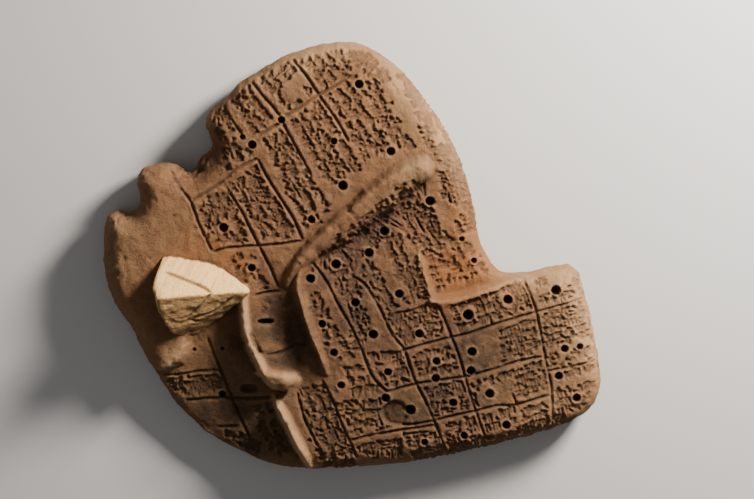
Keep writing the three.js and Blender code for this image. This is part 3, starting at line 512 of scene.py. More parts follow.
def touchesAt(at, ahead, kind, pitch, layout):  # one sign's strokes: place, way, length and width of each
    down = np.array([ahead[1], -ahead[0]])
    widths = writing["widths"]
    touches = []
    if kind < writing["acrossTo"]:  # one to three strokes across the row, at times with one through them
        for k in range(rng.integers(1, 4)):
            way = down + ahead * rng.normal(0, 0.14)
            shift = ahead * 0.95 * k + down * rng.normal(0, 0.35)
            touches.append((at + shift, way, rng.uniform(0.75, 1.2) * pitch, widths["across"]))
        if rng.random() < 0.4:
            shift = down * rng.normal(0, 0.5)
            touches.append((at + shift, ahead + down * rng.normal(0, 0.1), 2.4, widths["through"]))
    elif kind < writing["alongTo"][layout]:  # two or three along it, one under the other
        for k in range(rng.integers(2, 4)):
            way = ahead + down * rng.normal(0, 0.12)
            shift = down * ((k - 1) * pitch * 0.3 + rng.normal(0, 0.2))
            touches.append((at + shift, way, rng.uniform(1.2, writing["longest"][layout]), widths["along"]))
    else:  # slanting ones, and short corner strokes
        way = ahead + down * rng.choice([-1, 1]) * rng.uniform(0.6, 1.3)
        touches.append((at + down * rng.normal(0, 0.6), way, rng.uniform(1.4, 2.6), widths["slanting"]))
        if rng.random() < 0.5:
            crossing = ahead * way[1] - down * way[0] if rng.random() < 0.5 else down
            shift = down * rng.normal(0, 0.8)
            touches.append((at + shift, crossing, rng.uniform(1.2, 2.0), widths["corner"]))
    return touches


def pressRow(strokes, kept, line, pitch, deep, fill, layout):  # one row of signs; returns how many strokes
    perMm = 4
    run = curveThrough(line, 1 / perMm)
    spot = writing["step"] * 0.4
    pressed = 0
    while spot * perMm < len(run) - 1:
        i = int(spot * perMm)
        ahead = run[min(i + 1, len(run) - 1)] - run[min(i, len(run) - 2)]
        ahead = ahead / np.linalg.norm(ahead)
        spot += writing["step"] * rng.uniform(0.62, 1.25)
        if rng.random() > fill + 0.12:
            continue
        kind = rng.random()
        lift = min(rng.uniform(0.65, 1.15) * deep * writing["press"], writing["deepest"] * max(1, deep))
        for at, way, long, wide in touchesAt(run[i], ahead, kind, pitch, layout):
            at = at + rng.normal(0, 0.1, 2)
            way = way / np.linalg.norm(way)
            tips = charted([at, at + way * long * 0.5]).round().astype(int)
            if not kept[tips[:, 1], tips[:, 0]].any():
                pressWedge(strokes, at, way, long, wide, lift)
                pressed += 1
    return pressed


def cutFan(furrows):
    line, spacing, (shortest, longest), deep = writing["fan"]
    run = curveThrough(place(line), spacing)
    for a, b in zip(run[:-1], run[1:]):
        away = np.array([-(b - a)[1], (b - a)[0]]) / np.linalg.norm(b - a)
        away = away + (b - a) / spacing * rng.normal(0.15, 0.25)
        start = a + away * rng.uniform(-2.5, 1)
        end = start + away * rng.uniform(shortest, longest)
        bend = (start + end) / 2 + rng.normal(0, 0.2, 2)
        cutLine(furrows, [start, bend, end], rng.uniform(0.9, 1.4), deep * rng.uniform(0.6, 1.1) / 0.75,
                taper=2.5, uneven=0.3)


def writeFace():
    strokes = np.zeros((chart["count"],) * 2)
    furrows = np.zeros_like(strokes)
    kept = reserved()
    pressed = 0
    for rungs, pitch, deep, fill in writing["panels"]:
        starts, ends = place([rung[0] for rung in rungs]), place([rung[1] for rung in rungs])
        rowCount = max(1, round(float(np.linalg.norm(ends - starts, axis=1).mean()) / pitch))
        heading = (starts[-1] + ends[-1]) - (starts[0] + ends[0])
        layout = "columns" if abs(heading[1]) > abs(heading[0]) else "rows"
        for row in range(rowCount):
            t = row / rowCount
            if row > 0 and fill > 0.6:  # the furrow between this row and the one before
                between = starts * (1 - t) + ends * t + rng.normal(0, 0.22, starts.shape)
                depth = deep * writing["press"] * writing["furrowShare"][layout]
                cutLine(furrows, between, writing["furrowWidth"], depth, uneven=0.9)
            t = (row + 0.5) / rowCount
            pressed += pressRow(strokes, kept, starts * (1 - t) + ends * t, pitch, deep, fill, layout)
    cutFan(furrows)
    furrows[kept] = 0
    print(f"strokes pressed: {pressed}")
    return strokes, furrows


# what is broken, dented, chipped and pitted
breaks = {
    # the snapped edge at the upper left, and other rough places: place, reach along and across in mm, turn,
    # strength
    "rough": [((-22.5, 34.2), (11, 4.5), 20, 1), ((-19.2, 37.2), (4, 5), 0, 0.9),
              ((-40, 29.5), (7, 2.6), 15, 0.7), ((-33, 36), (5, 1.8), -10, 0.4),
              ((-17.4, 27.2), (6.5, 2.8), 10, 0.45),
              ((11.5, 8.4), (12, 3.2), 24, 0.5), ((-13.4, -1.5), (2.2, 9), 3, 0.35),
              ((-36.5, -3.0), (4, 2.4), 30, 0.3)],
    "jaggedness": 1.15,
    "dents": [((0.8, -33.4), 4.7, 2.1), ((-28.3, -24.6), 1.4, 0.4)],  # place, radius and depth
    "chips": (5.5, 2.15, 0.35),  # size, how rare and how deep
    "pits": (0.75, 2.35, 0.3),
    "uneven": [(7, 0.09), (2.6, 0.055), (1.1, 0.022)],  # size and height of what makes the face uneven
}


def makeRelief():
    strokes, furrows = writeFace()
    report("writing")
    wear = smooth((clayNoise(9) + 1.6) / 2.2)  # some places are worn more than others
    strokes = np.maximum(strokes, 0.75 * furrows) * (0.7 + 0.3 * wear)
    lines = np.zeros_like(strokes)
    for line in ruled["lines"]:
        cutLine(lines, place(line), ruled["width"], ruled["depth"], taper=1.6)
    cut = softened(np.maximum(strokes, lines), 0.09)
    relief = -cut + 0.5 * softened(strokes, 0.8)  # the clay swells up between the strokes
    beside = np.clip(softened(lines, 0.55) * 3.2 - cut * 3, 0, 1)
    relief += ruled["burr"] * beside * (1 + 0.4 * clayNoise(1.4))
    gridX, gridY = np.meshgrid(*[np.arange(chart["count"]) * chart["cell"] - chart["reach"]] * 2)

    for u, v, across in holes["round"]:  # clay pushed up round each hole
        part, x, y = windowAt(place((u, v)), 5)
        gap = np.hypot(x, y) - across / 2
        lip = holes["lip"] * np.exp(-((gap - 0.3) / 0.32) ** 2)
        relief[part] = relief[part] * smooth((gap - 0.05) / 0.5) + lip

    for at, radius, deep in breaks["dents"]:  # round dents with one steep side
        part, x, y = windowAt(place(at), radius * 1.3)
        mask = smooth((1 - np.hypot(x, y) / radius) / 0.22)
        relief[part] = relief[part] * (1 - 0.8 * mask) - deep * mask * (0.62 - 0.38 * x / radius)

    rough = np.zeros_like(relief)
    for at, spread, turn, strength in breaks["rough"]:
        x, y = ovalShares(gridX, gridY, at, spread, turn)
        rough = np.maximum(rough, strength * smooth(1.35 - np.hypot(x, y)))
    jagged = 0.34 * np.abs(clayNoise(5)) + 0.2 * np.abs(clayNoise(2.2)) + 0.08 * clayNoise(0.9)
    relief = relief * (1 - 0.75 * rough) - rough * jagged * breaks["jaggedness"]

    size, rarity, depth = breaks["chips"]
    chips = fewSpots(size, rarity, 0.25)
    relief -= depth * chips * (0.75 + 0.15 * clayNoise(1.2))
    relief += unevenness(breaks["uneven"])
    size, rarity, depth = breaks["pits"]
    pits = fewSpots(size, rarity, 0.5) * (0.5 + 0.5 * smooth(clayNoise(12) + 0.6))
    relief -= depth * pits
    return relief, cut


# what each point of the blank carries: its place with the rim unrolled and which part it is on, the nearest
# place on the outline with how far the foot reaches in there, and where the rim starts
layers = ("unrolled", "onOutline", "startedAt")
onFace, onRim, onFoot, onUnderside = range(4)


def trimmedGrid(bm, count, clear):  # a flat grid, trimmed that far inside the outline; returns its points
    verts = bmesh.ops.create_grid(bm, x_segments=count, y_segments=count, size=slab["blank"])["verts"]
    inset = insetOf(np.array([v.co[:2] for v in verts]))
    bmesh.ops.delete(bm, geom=[v for v, d in zip(verts, inset) if d < clear], context="VERTS")
    verts = [v for v in verts if v.is_valid]
    bmesh.ops.delete(bm, geom=[v for v in verts if not v.link_faces], context="VERTS")
    return [v for v in verts if v.is_valid]


def trimBlank():  # the written face, flat for now, with its edge on an even line
    turnIn = slab["turnIn"]
    bm = bmesh.new()
    for name in layers:
        bm.verts.layers.float_vector.new(name)
    unrolled, onOutline, startedAt = [bm.verts.layers.float_vector[name] for name in layers]
    trimmedGrid(bm, int(2 * slab["blank"] / slab["cell"]), turnIn)
    edge = [v for v in bm.verts if v.is_boundary]
    spots = np.array([v.co[:2] for v in edge])
    gap, along, _ = nearestOn(spots, outline, closed=True)
    i = along.astype(int)
    t = (along - i)[:, None]
    onEdge = outline[i % len(outline)] * (1 - t) + outline[(i + 1) % len(outline)] * t
    inward = (spots - onEdge) / gap[:, None]
    foot = np.full(len(edge), float(slab["footRun"]))  # narrower where the clay is too narrow for it
    for t in np.arange(slab["footRun"], turnIn * 0.5, -0.25):
        tight = foot == t
        at = onEdge[tight] + inward[tight] * t
        foot[np.flatnonzero(tight)[nearestOn(at, outline, closed=True)[0] < t * 0.997]] = t - 0.25
    order = {v: i for i, v in enumerate(edge)}
    beside = np.array([[order[e.other_vert(v)] for e in v.link_edges if e.is_boundary][:2] for v in edge])
    foot = np.where(foot < slab["footRun"], foot - 0.5, foot)
    for _ in range(40):
        foot = np.minimum(foot, foot[beside].mean(axis=1) + 0.01)
    for v, q, way, reach in zip(edge, onEdge, inward, foot):
        start = q + way * turnIn
        v.co.xy = start
        v[onOutline] = (*q, reach / slab["footRun"])
        v[startedAt] = (*start, 0)
    near = {o for v in edge for e in v.link_edges for o in (e.other_vert(v),) if not o.is_boundary}
    near |= {o for v in near for e in v.link_edges for o in (e.other_vert(v),) if not o.is_boundary}
    for _ in range(6):
        bmesh.ops.smooth_vert(bm, verts=list(near), factor=0.5, use_axis_x=True, use_axis_y=True)
    for v in bm.verts:
        v.co.z = slab["height"]  # nominal heights for now, so that the shell knows its outside
        v[unrolled] = (v.co.x, v.co.y, onFace)
    return bm


def rimRings():  # from the face to the ground: how far in, how high, and on which part
    rise, run = slab["height"] - slab["rimHeight"], slab["rimRun"]
    start = math.acos(1 - slab["turnIn"] / run)
    rings = [(run * (1 - math.cos(start)), slab["rimHeight"] + rise * math.sin(start), onFace)]
    for share in np.linspace(0, 1, slab["roundRings"] + 1)[1:]:
        turn = start * (1 - share)
        rings.append((run * (1 - math.cos(turn)), slab["rimHeight"] + rise * math.sin(turn), onRim))
    for turn in np.linspace(0, math.pi / 2, slab["footRings"] + 1)[1:]:
        level = slab["rimHeight"] * (1 - math.sin(turn))
        rings.append((slab["footRun"] * (1 - math.cos(turn)), level, onFoot))
    return rings


def turnRim(bm):  # the face's edge turned down round the rim
    unrolled, onOutline, startedAt = [bm.verts.layers.float_vector[name] for name in layers]
    edges = [e for e in bm.edges if e.is_boundary]
    rings = rimRings()
    arc = 0
    for last, (inset, level, part) in zip(rings, rings[1:]):
        made = bmesh.ops.extrude_edge_only(bm, edges=edges)["geom"]
        edges = [g for g in made if isinstance(g, bmesh.types.BMEdge) and g.is_boundary]
        arc += math.hypot(inset - last[0], level - last[1])
        for v in (g for g in made if isinstance(g, bmesh.types.BMVert)):
            q, start = v[onOutline].xy, v[startedAt].xy
            outward = (q - start).normalized()
            narrowed = v[onOutline].z if part == onFoot else 1
            v.co = (*(q + (start - q) * (inset * narrowed / slab["turnIn"])), level)
            v[unrolled] = (*(start + outward * arc), part)


def closeUnder(bm):  # the underside: a coarser grid, joined to the foot of the rim
    unrolled = bm.verts.layers.float_vector["unrolled"]
    for v in trimmedGrid(bm, slab["underCells"], slab["footRun"] + 0.8):
        v[unrolled] = (v.co.x, v.co.y, onUnderside)
    edges = [e for e in bm.edges if e.is_boundary]
    bmesh.ops.triangle_fill(bm, use_beauty=True, use_dissolve=False, edges=edges)
    bmesh.ops.recalc_face_normals(bm, faces=bm.faces[:])
    if bm.calc_volume(signed=True) < 0:
        bmesh.ops.reverse_faces(bm, faces=bm.faces[:])
    openEdges = sum(1 for e in bm.edges if not e.is_manifold)
    turnedEdges = sum(1 for e in bm.edges if e.is_manifold and not e.is_contiguous)
    print(f"blank: {len(bm.verts)} points, {openEdges} open and {turnedEdges} turned edges")


def meshFrom(bm, name):
    mesh = bpy.data.meshes.new(name)
    bm.to_mesh(mesh)
    bm.free()
    return mesh


def linked(name, data):
    made = bpy.data.objects.new(name, data)
    bpy.context.scene.collection.objects.link(made)
    return made


def readPoints(mesh, name=None):
    values = np.zeros(len(mesh.vertices) * 3, np.float32)
    if name:
        mesh.attributes[name].data.foreach_get("vector", values)
    else:
        mesh.vertices.foreach_get("co", values)
    return values.reshape(-1, 3).astype(float)


def readNormals(mesh):
    values = np.zeros(len(mesh.vertices) * 3, np.float32)
    mesh.vertex_normals.foreach_get("vector", values)
    return values.reshape(-1, 3).astype(float)


def movePoints(mesh, points):
    mesh.vertices.foreach_set("co", points.astype(np.float32).ravel())
    mesh.update()


def drawOnto(points, flat):  # points close to a hole's mouth or floor are drawn onto its circle
    cell = slab["cell"]
    for u, v, across in holes["round"]:
        at = place((u, v))
        away = points[:, :2] - at
        far = np.hypot(away[:, 0], away[:, 1])
        for radius in (across / 2 + 0.03, across / 2 - cell):
            near = flat & (np.abs(far - radius) < cell * 0.5)
            points[near, :2] = at + away[near] * (radius / far[near])[:, None]
    for line in ruled["lines"]:  # and points close to the bottom of a ruled line onto it
        run = curveThrough(place(line), 0.5)
        low, high = run.min(axis=0) - 1, run.max(axis=0) + 1
        index = np.flatnonzero(flat & np.all((points[:, :2] > low) & (points[:, :2] < high), axis=1))
        gap, along, _ = nearestOn(points[index, :2], run)
        close = gap < cell * 0.42
        onLine = [np.interp(along[close], np.arange(len(run)), column) for column in run.T]
        points[index[close], :2] = np.stack(onLine, axis=1)


def pierce(points, level, flat):  # peg holes, the slot and the oval dent, straight down
    for u, v, across in holes["round"]:
        at = place((u, v))
        far = np.hypot(points[:, 0] - at[0], points[:, 1] - at[1])
        inside = flat & (far < across / 2 + 0.01)
        if not inside.any():
            continue
        deep = min(holes["depth"], 1.8 * across)
        floor = np.median(level[inside]) - deep
        radius = across / 2 - slab["cell"] + 0.02
        bowl = floor - 0.25 * (1 - np.clip(far[inside] / radius, 0, 1) ** 2)
        wall = smooth((across / 2 - far[inside]) / (across / 2 - radius))
        points[inside, 2] = points[inside, 2] * (1 - wall) + bowl * wall
    for u, v, long, wide, turn, deep in holes["long"]:
        x, y = ovalShares(*points[:, :2].T, (u, v), (long / 2, wide / 2), turn)
        gap = (np.abs(x) ** 2.4 + np.abs(y) ** 2.4) ** (1 / 2.4)
        points[:, 2] -= np.where(flat, deep * smooth((1.05 - gap) / 0.4), 0)


def bakedFrom(mesh, *modifiers):  # the mesh after the given modifiers, each a kind and its settings
    holder = linked("holder", mesh)
    for kind, settings in modifiers:
        modifier = holder.modifiers.new(kind.lower(), kind)
        for key, value in settings.items():
            setattr(modifier, key, value)
    made = bpy.data.meshes.new_from_object(holder.evaluated_get(bpy.context.evaluated_depsgraph_get()))
    bpy.data.objects.remove(holder)
    return made


def shapeSlab(relief):
    bm = trimBlank()
    turnRim(bm)
    closeUnder(bm)
    mesh = meshFrom(bm, "blank")
    report("blank")
    unrolled = readPoints(mesh, "unrolled")
    points = readPoints(mesh)
    flat = unrolled[:, 2] == onFace
    drawOnto(points, flat)
    unrolled[flat, :2] = points[flat, :2]
    upper = unrolled[:, 2] <= onRim
    inset = insetOf(points[upper, :2])
    base = roundedHeight(points[upper, :2], np.maximum(inset, 0))
    points[upper, 2] = withRidges(points[upper, :2], base)
    report("face")
    movePoints(mesh, points)
    normals = readNormals(mesh)
    raised = onChart(relief, unrolled[:, :2])
    under = unrolled[:, 2] == onUnderside
    settle = smooth(points[:, 2] / 2.5)  # the foot of the rim stays on the ground
    level = points[:, 2].copy()
    points += normals * (np.where(under, 0, raised * settle))[:, None]
    points[under, 2] += np.clip(0.22 * np.abs(raised[under]) + 0.1, 0, 0.4)
    pierce(points, level, flat)
    points[:, 2] = np.maximum(points[:, 2], 0)
    movePoints(mesh, points)
    return mesh, unrolled


def shapeFinger():  # a three-sided pyramid lying on the face, its high end leaning out
    foot = place(finger["foot"])
    level = float(roundedHeight(foot[4:5], insetOf(foot[4:5]))[0])
    ground = roundedHeight(foot, insetOf(foot))
    bm = bmesh.new()
    for (x, y), z in zip(foot, ground):
        bm.verts.new((x, y, z - finger["bury"]))
        bm.verts.new((x, y, z + 0.3))
    for u, v, rise in finger["top"]:
        bm.verts.new((*place((u, v)), level + finger["rise"] * rise))
    loose = bmesh.ops.convex_hull(bm, input=bm.verts[:], use_existing_faces=False)
    bmesh.ops.delete(bm, geom=list({*loose["geom_interior"], *loose["geom_unused"]}), context="VERTS")
    bmesh.ops.recalc_face_normals(bm, faces=bm.faces[:])
    voxel = finger["voxel"] * 1
    mesh = bakedFrom(meshFrom(bm, "finger"), ("REMESH", {"mode": "VOXEL", "voxel_size": voxel}),
                     ("SMOOTH", {"factor": 0.5, "iterations": finger["rounding"]}))
    points, normals = readPoints(mesh), readNormals(mesh)
    skin = unevenness(finger["uneven"])
    size, rarity, depth = finger["pits"]
    skin -= depth * fewSpots(size, rarity, 0.5)
    cracks = np.zeros_like(skin)
    for crack in finger["cracks"]:
        cutLine(cracks, place(crack), finger["crackWidth"], finger["crackDepth"], taper=2.5, uneven=0.6)
    rough = smooth((normals[:, 2] * -1 + 0.35) / 0.5)  # the end wall and the undercut are coarser
    aside = points[:, :2] + points[:, 2:3] * (0.6, 0.35)  # slanted, so that steep sides aren't streaked
    lift = onChart(skin, aside) * (1 + 0.8 * rough)
    lift -= onChart(cracks, points[:, :2]) * smooth(normals[:, 2] / 0.35)
    movePoints(mesh, points + normals * lift[:, None])
    report("finger")
    return mesh, cracks


# the finish: fired clay, and the places where it burnt redder or oranger, or is worn pale, with painted light
# on its rims and crests and painted shade in its hollows, creases and cuts
tones = {
    # colours, linear
    "clay": (0.18, 0.08, 0.032), "clayDeep": (0.125, 0.054, 0.022), "rosy": (0.105, 0.039, 0.021),
    "orange": (0.275, 0.095, 0.024), "pale": (0.54, 0.315, 0.155), "olive": (0.165, 0.108, 0.052),
    # the tan, the umber brown and the dust colour also serve as painted shade: on the finger's far sides, in
    # shaded places and cuts, in creases and cracks
    "cream": (0.97, 0.57, 0.22), "shadeAndDustTan": (0.19, 0.105, 0.04), "paintedShade": (0.03, 0.0135, 0.0065),
    "dustAndShade": (0.026, 0.012, 0.006),
    "sizes": (45, 190, 1700),  # clouds to the metre: broad, middle and grain
    "roughness": (0.78, 0.95), "shine": 0.28, "bump": 0.00045, "bumpStrength": 0.9, "middleBump": 0.45,
    # what is laid over the plain clay, in turn: where, in which colour and how much of it. The coats on rims,
    # ridge tops and crests are partly painted light; those in shaded places, creases, cracks, cuts and on the
    # finger's far sides are painted shade.
    "coats": [("broadClouds", "clayDeep", 0.55), ("middleClouds", "pale", 0.05), ("olive", "olive", 0.7),
              ("rosy", "rosy", 0.7), ("orange", "orange", 0.85), ("pale", "pale", 0.7),
              ("paintedShade", "paintedShade", 0.9), ("ledgeHighlights", "pale", 0.5), ("finger", "cream", 0.96),
              ("fingerShadeAndDust", "shadeAndDustTan", 0.8), ("grimeAndShade", "dustAndShade", 0.8), ("crest", "pale", 0.17),
              ("creviceShade", "dustAndShade", 0.45), ("shadeInCuts", "paintedShade", 0.42), ("grainSpecks", "dustAndShade", 0.3),
              ("grainClouds", "pale", 0.05)],
    # how far in mm a point stands out or is set back at full strength, and what that counts, near by and
    # a little further off
    # what stands out is painted paler as a highlight, what is set back painted darker as shade
    "crest": ((0.07, 0.6), (0.45, 0.5)), "creviceShade": ((0.09, 0.6), (0.45, 0.45)),
    "turn": 20,  # of the picture's top; the finger is painted darker, as shade with some dust, on the sides that look away from there
    # places of each: place, reach along and across in mm, turn, strength
    # redder clay, laid deepest into the hollow below the gall bladder, where it is painted shade as well
    "rosyAt": [((8, 5), (24, 8), 18, 1), ((-14.5, -6), (6, 20), 0, 0.75), ((-22, 33.5), (11, 5), 20, 0.85),
               ((-12, 24), (20, 22), 0, 0.25), ((-17, -14), (6, 6), 0, 0.6), ((2, -12), (16, 22), 0, 0.45),
               ((-19, 10), (7, 5), 0, 0.4), ((4, 16), (14, 4), 30, 0.45), ((13, -20), (14, 9), 0, 0.3)],
    # oranger clay, which on the recess's floor and on the knob is painted light as well
    "orangeAt": [((25, -8.5), (12, 9), 0, 1), ((29, 1), (6, 9), 0, 0.55), ((-21, 11.5), (7, 3), -50, 0.7),
                 ((-17, -4.5), (4, 4), 0, 0.5), ((-20.5, -15.5), (4, 2.4), -30, 0.6),
                 ((-28, 17), (16, 5), 0, 0.3), ((18, 2), (9, 6), 0, 0.3), ((14, 36), (12, 12), 0, 0.2),
                 ((-18.5, 38.5), (2.5, 4), 0, 0.4)],
    # painted shade: in the channel below the yoke, beside the edge below the finger, over the lower left, the
    # lower middle and the centre, and in the hollow below the gall bladder
    "paintedShadeAt": [((-16.2, -8.5), (9, 16), 0, 1.3), ((-34, -26), (24, 16), -50, 0.75),
                ((10, -32), (28, 15), 0, 0.9),
                ((2, -8), (24, 20), 0, 0.75), ((-15, -32), (11, 18), 0, 0.62), ((8, 6), (18, 5), 18, 0.5),
                ((-27, -8), (3.5, 9), 10, 0.6), ((22, -26), (14, 14), 0, 1.0),
                ((34, -28), (14, 20), 0, 0.42)],
    # paler clay, and painted light on the rims, the recess's brow and the bare lobe's lip, which face the key
    # light
    "paleAt": [((48, -30), (8, 28), 8, 0.8), ((31.5, 25), (5, 30), 15, 0.5), ((12, 48), (26, 4), 0, 0.45),
               ((-46, 12), (7, 26), 0, 0.1), ((42, -16), (14, 4), -10, 0.55),
               ((36, -44), (14, 8), 10, 0.25), ((-41, -4), (6, 3), 35, 0.6)],
    "oliveAt": [((24.6, 17), (6, 4.5), 10, 0.95), ((23.5, -26.4), (5.2, 5.2), 0, 0.8),
                ((21.7, -36.8), (4.6, 4.6), 0, 0.6),
                ((4.2, -33.9), (6, 6), 0, 0.6), ((26.9, 4.8), (6, 6), 0, 0.55),
                ((25, 31), (4, 11), 10, 0.4), ((4.4, 42.6), (5, 5), 0, 0.3), ((-36, 22), (14, 16), 0, 0.35),
                ((-33, -18), (20, 18), 0, 0.5), ((45.2, -18.6), (4.6, 4.6), 0, 0.35),
                ((30, -34), (22, 16), 0, 0.3)],
}


def toneMap(spots, points, mottle):
    mask = np.zeros(len(points))
    for at, spread, turn, strength in spots:
        x, y = ovalShares(*points[:, :2].T, at, spread, turn)
        mask = np.maximum(mask, strength * np.exp(-0.9 * (x * x + y * y)))
    return np.clip(mask * (1 + 0.28 * mottle), 0, 1)


def crestsOf(mesh):  # how far each point stands out from its neighbours, near by and a little further off
    edges = np.zeros(len(mesh.edges) * 2, np.int64)
    mesh.edges.foreach_get("vertices", edges)
    a, b = edges.reshape(-1, 2).T
    points, normals = readPoints(mesh), readNormals(mesh)
    degree = np.maximum(np.bincount(a, minlength=len(points)) + np.bincount(b, minlength=len(points)), 1)

    def around(values):
        return np.stack([np.bincount(a, column[b], len(points)) + np.bincount(b, column[a], len(points))
                         for column in values.T], axis=1) / degree[:, None]

    lengths = np.linalg.norm(points[a] - points[b], axis=1)
    apart = (np.bincount(a, lengths, len(points)) + np.bincount(b, lengths, len(points))) / degree
    near, far = around(points), points
    for _ in range(14):
        far = around(far)
    fine = ((points - near) * normals).sum(axis=1)
    broad = ((points - far) * normals).sum(axis=1)
    for _ in range(2):
        fine = around(fine[:, None])[:, 0]
    broad = around(broad[:, None])[:, 0]
    return fine, broad, apart


def addMask(mesh, name, values):
    layer = mesh.attributes.new(name, "FLOAT", "POINT")
    layer.data.foreach_set("value", values.astype(np.float32))


def finishMasks(mesh, dense, unrolled, cut, cracks):  # where each coat goes
    points = readPoints(mesh)
    tree = kdtree.KDTree(len(dense))  # of the points before thinning, which know where they were
    for i, spot in enumerate(dense):
        tree.insert(spot, i)
    tree.balance()
    found = [tree.find(spot) for spot in points]
    index = np.array([f[1] for f in found])
    off = np.array([f[2] for f in found])
    onFinger = smooth((off - 0.25) / 0.7)
    spots = unrolled[index, :2]
    mottle = onChart(unevenness([(11, 0.7), (4, 0.5)]), spots)
    under = (unrolled[index, 2] > onRim) & (onFinger < 0.5)
    for name in ("rosy", "orange", "pale", "olive", "paintedShade"):
        mask = toneMap(tones[name + "At"], points, mottle)
        mask = np.where(under, mask * 0.25, mask) * (1 - onFinger)
        addMask(mesh, name, mask)
    normals = readNormals(mesh)
    fine, broad, apart = crestsOf(mesh)
    even = np.minimum(1, (0.5 / apart) ** 2)  # where the faces are large, what stands out is only their size
    # a painted highlight where a point stands out, painted shade where it is set back
    for name, sign in (("crest", 1), ("creviceShade", -1)):
        out = [sign * stands * even for stands in (fine, broad)]
        shares = [np.clip(far / full, 0, 1) * counts for far, (full, counts) in zip(out, tones[name])]
        addMask(mesh, name, sum(shares))
    # painted shade in the strokes and ruled lines, kept off the underside and the finger
    shadeInCuts = smooth(onChart(softened(cut, 0.15), spots) / 0.6) * (1 - onFinger)
    addMask(mesh, "shadeInCuts", np.where(unrolled[index, 2] == onUnderside, 0, shadeInCuts))
    ledgeHighlights = np.zeros(len(points))
    for ridge in ridges[2:5]:  # the edge below the finger, its knob and the lower edge get a painted highlight on their upward faces
        run = curveThrough(place([s[0:2] for s in ridge["stations"]]), 0.8)
        ledgeHighlights = np.maximum(ledgeHighlights, smooth((2.6 - nearestOn(points[:, :2], run)[0]) / 1.8))
    addMask(mesh, "ledgeHighlights", ledgeHighlights * (normals[:, 2] > 0.2) * (1 - onFinger))
    addMask(mesh, "finger", onFinger)
    roll = math.radians(tones["turn"])
    facing = normals[:, 0] * math.sin(roll) + normals[:, 1] * math.cos(roll)  # towards the picture's top
    # painted shade, with some dust, on the finger's sides that look away from the picture's top
    low = smooth((0.12 - facing + 0.08 * mottle) / 0.3)
    addMask(mesh, "fingerShadeAndDust", onFinger * low)
    # dust specks on the finger, heavier on its shaded sides, and painted shade along its cracks
    grimeAndShade = smooth((onChart(clayNoise(0.8), points[:, :2] + points[:, 2:3] * 0.7) - 1.35) / 0.6)
    split = smooth(onChart(cracks, points[:, :2]) / 0.3)
    addMask(mesh, "grimeAndShade", onFinger * np.maximum(grimeAndShade * (0.5 + 0.5 * low), 0.8 * split))


def wire(tree, kind, **settings):  # a new node, with its settings and the values of its inputs
    made = tree.nodes.new("ShaderNode" + kind)
    for key, value in settings.items():
        if hasattr(made, key):
            setattr(made, key, value)
        else:
            made.inputs[key.replace("_", " ")].default_value = value
    return made


def blendIn(tree, mask, below, above, amount):  # lays a colour over what is below where the mask says
    strength = wire(tree, "Math", operation="MULTIPLY")
    strength.inputs[1].default_value = amount
    strength.use_clamp = True
    tree.links.new(mask, strength.inputs[0])
    mixed = wire(tree, "Mix", data_type="RGBA")
    tree.links.new(strength.outputs[0], mixed.inputs["Factor"])
    tree.links.new(below, mixed.inputs[6])
    mixed.inputs[7].default_value = (*above, 1)
    return mixed.outputs[2]


def speckleGroup():  # cloudy and speckled masks of a given size, used by clay and floor alike
    group = bpy.data.node_groups.new("clouds and specks", "ShaderNodeTree")
    group.interface.new_socket("Place", in_out="INPUT", socket_type="NodeSocketVector")
    group.interface.new_socket("Size", in_out="INPUT", socket_type="NodeSocketFloat")
    for name in ("Clouds", "Specks", "Height"):
        group.interface.new_socket(name, in_out="OUTPUT", socket_type="NodeSocketFloat")
    start = group.nodes.new("NodeGroupInput")
    end = group.nodes.new("NodeGroupOutput")
    cloud = wire(group, "TexNoise", Detail=5, Roughness=0.6, Lacunarity=2.2)
    speck = wire(group, "TexNoise", Detail=2, Roughness=0.5)
    finer = wire(group, "Math", operation="MULTIPLY")
    finer.inputs[1].default_value = 7.5
    cloudRange = wire(group, "MapRange", interpolation_type="SMOOTHSTEP", From_Min=0.3, From_Max=0.7)
    speckRange = wire(group, "MapRange", interpolation_type="SMOOTHSTEP", From_Min=0.6, From_Max=0.72)
    height = wire(group, "Math", operation="SUBTRACT")
    for a, b in ((start.outputs["Place"], cloud.inputs["Vector"]),
                 (start.outputs["Place"], speck.inputs["Vector"]),
                 (start.outputs["Size"], cloud.inputs["Scale"]), (start.outputs["Size"], finer.inputs[0]),
                 (finer.outputs[0], speck.inputs["Scale"]),
                 (cloud.outputs["Fac"], cloudRange.inputs["Value"]),
                 (speck.outputs["Fac"], speckRange.inputs["Value"]),
                 (cloud.outputs["Fac"], height.inputs[0]), (speckRange.outputs[0], height.inputs[1]),
                 (cloudRange.outputs[0], end.inputs["Clouds"]), (speckRange.outputs[0], end.inputs["Specks"]),
                 (height.outputs[0], end.inputs["Height"])):
        group.links.new(a, b)
    return group


def placed(tree, group, coordinates, size):
    made = tree.nodes.new("ShaderNodeGroup")
    made.node_tree = group
    made.inputs["Size"].default_value = size
    tree.links.new(coordinates, made.inputs["Place"])
    return made


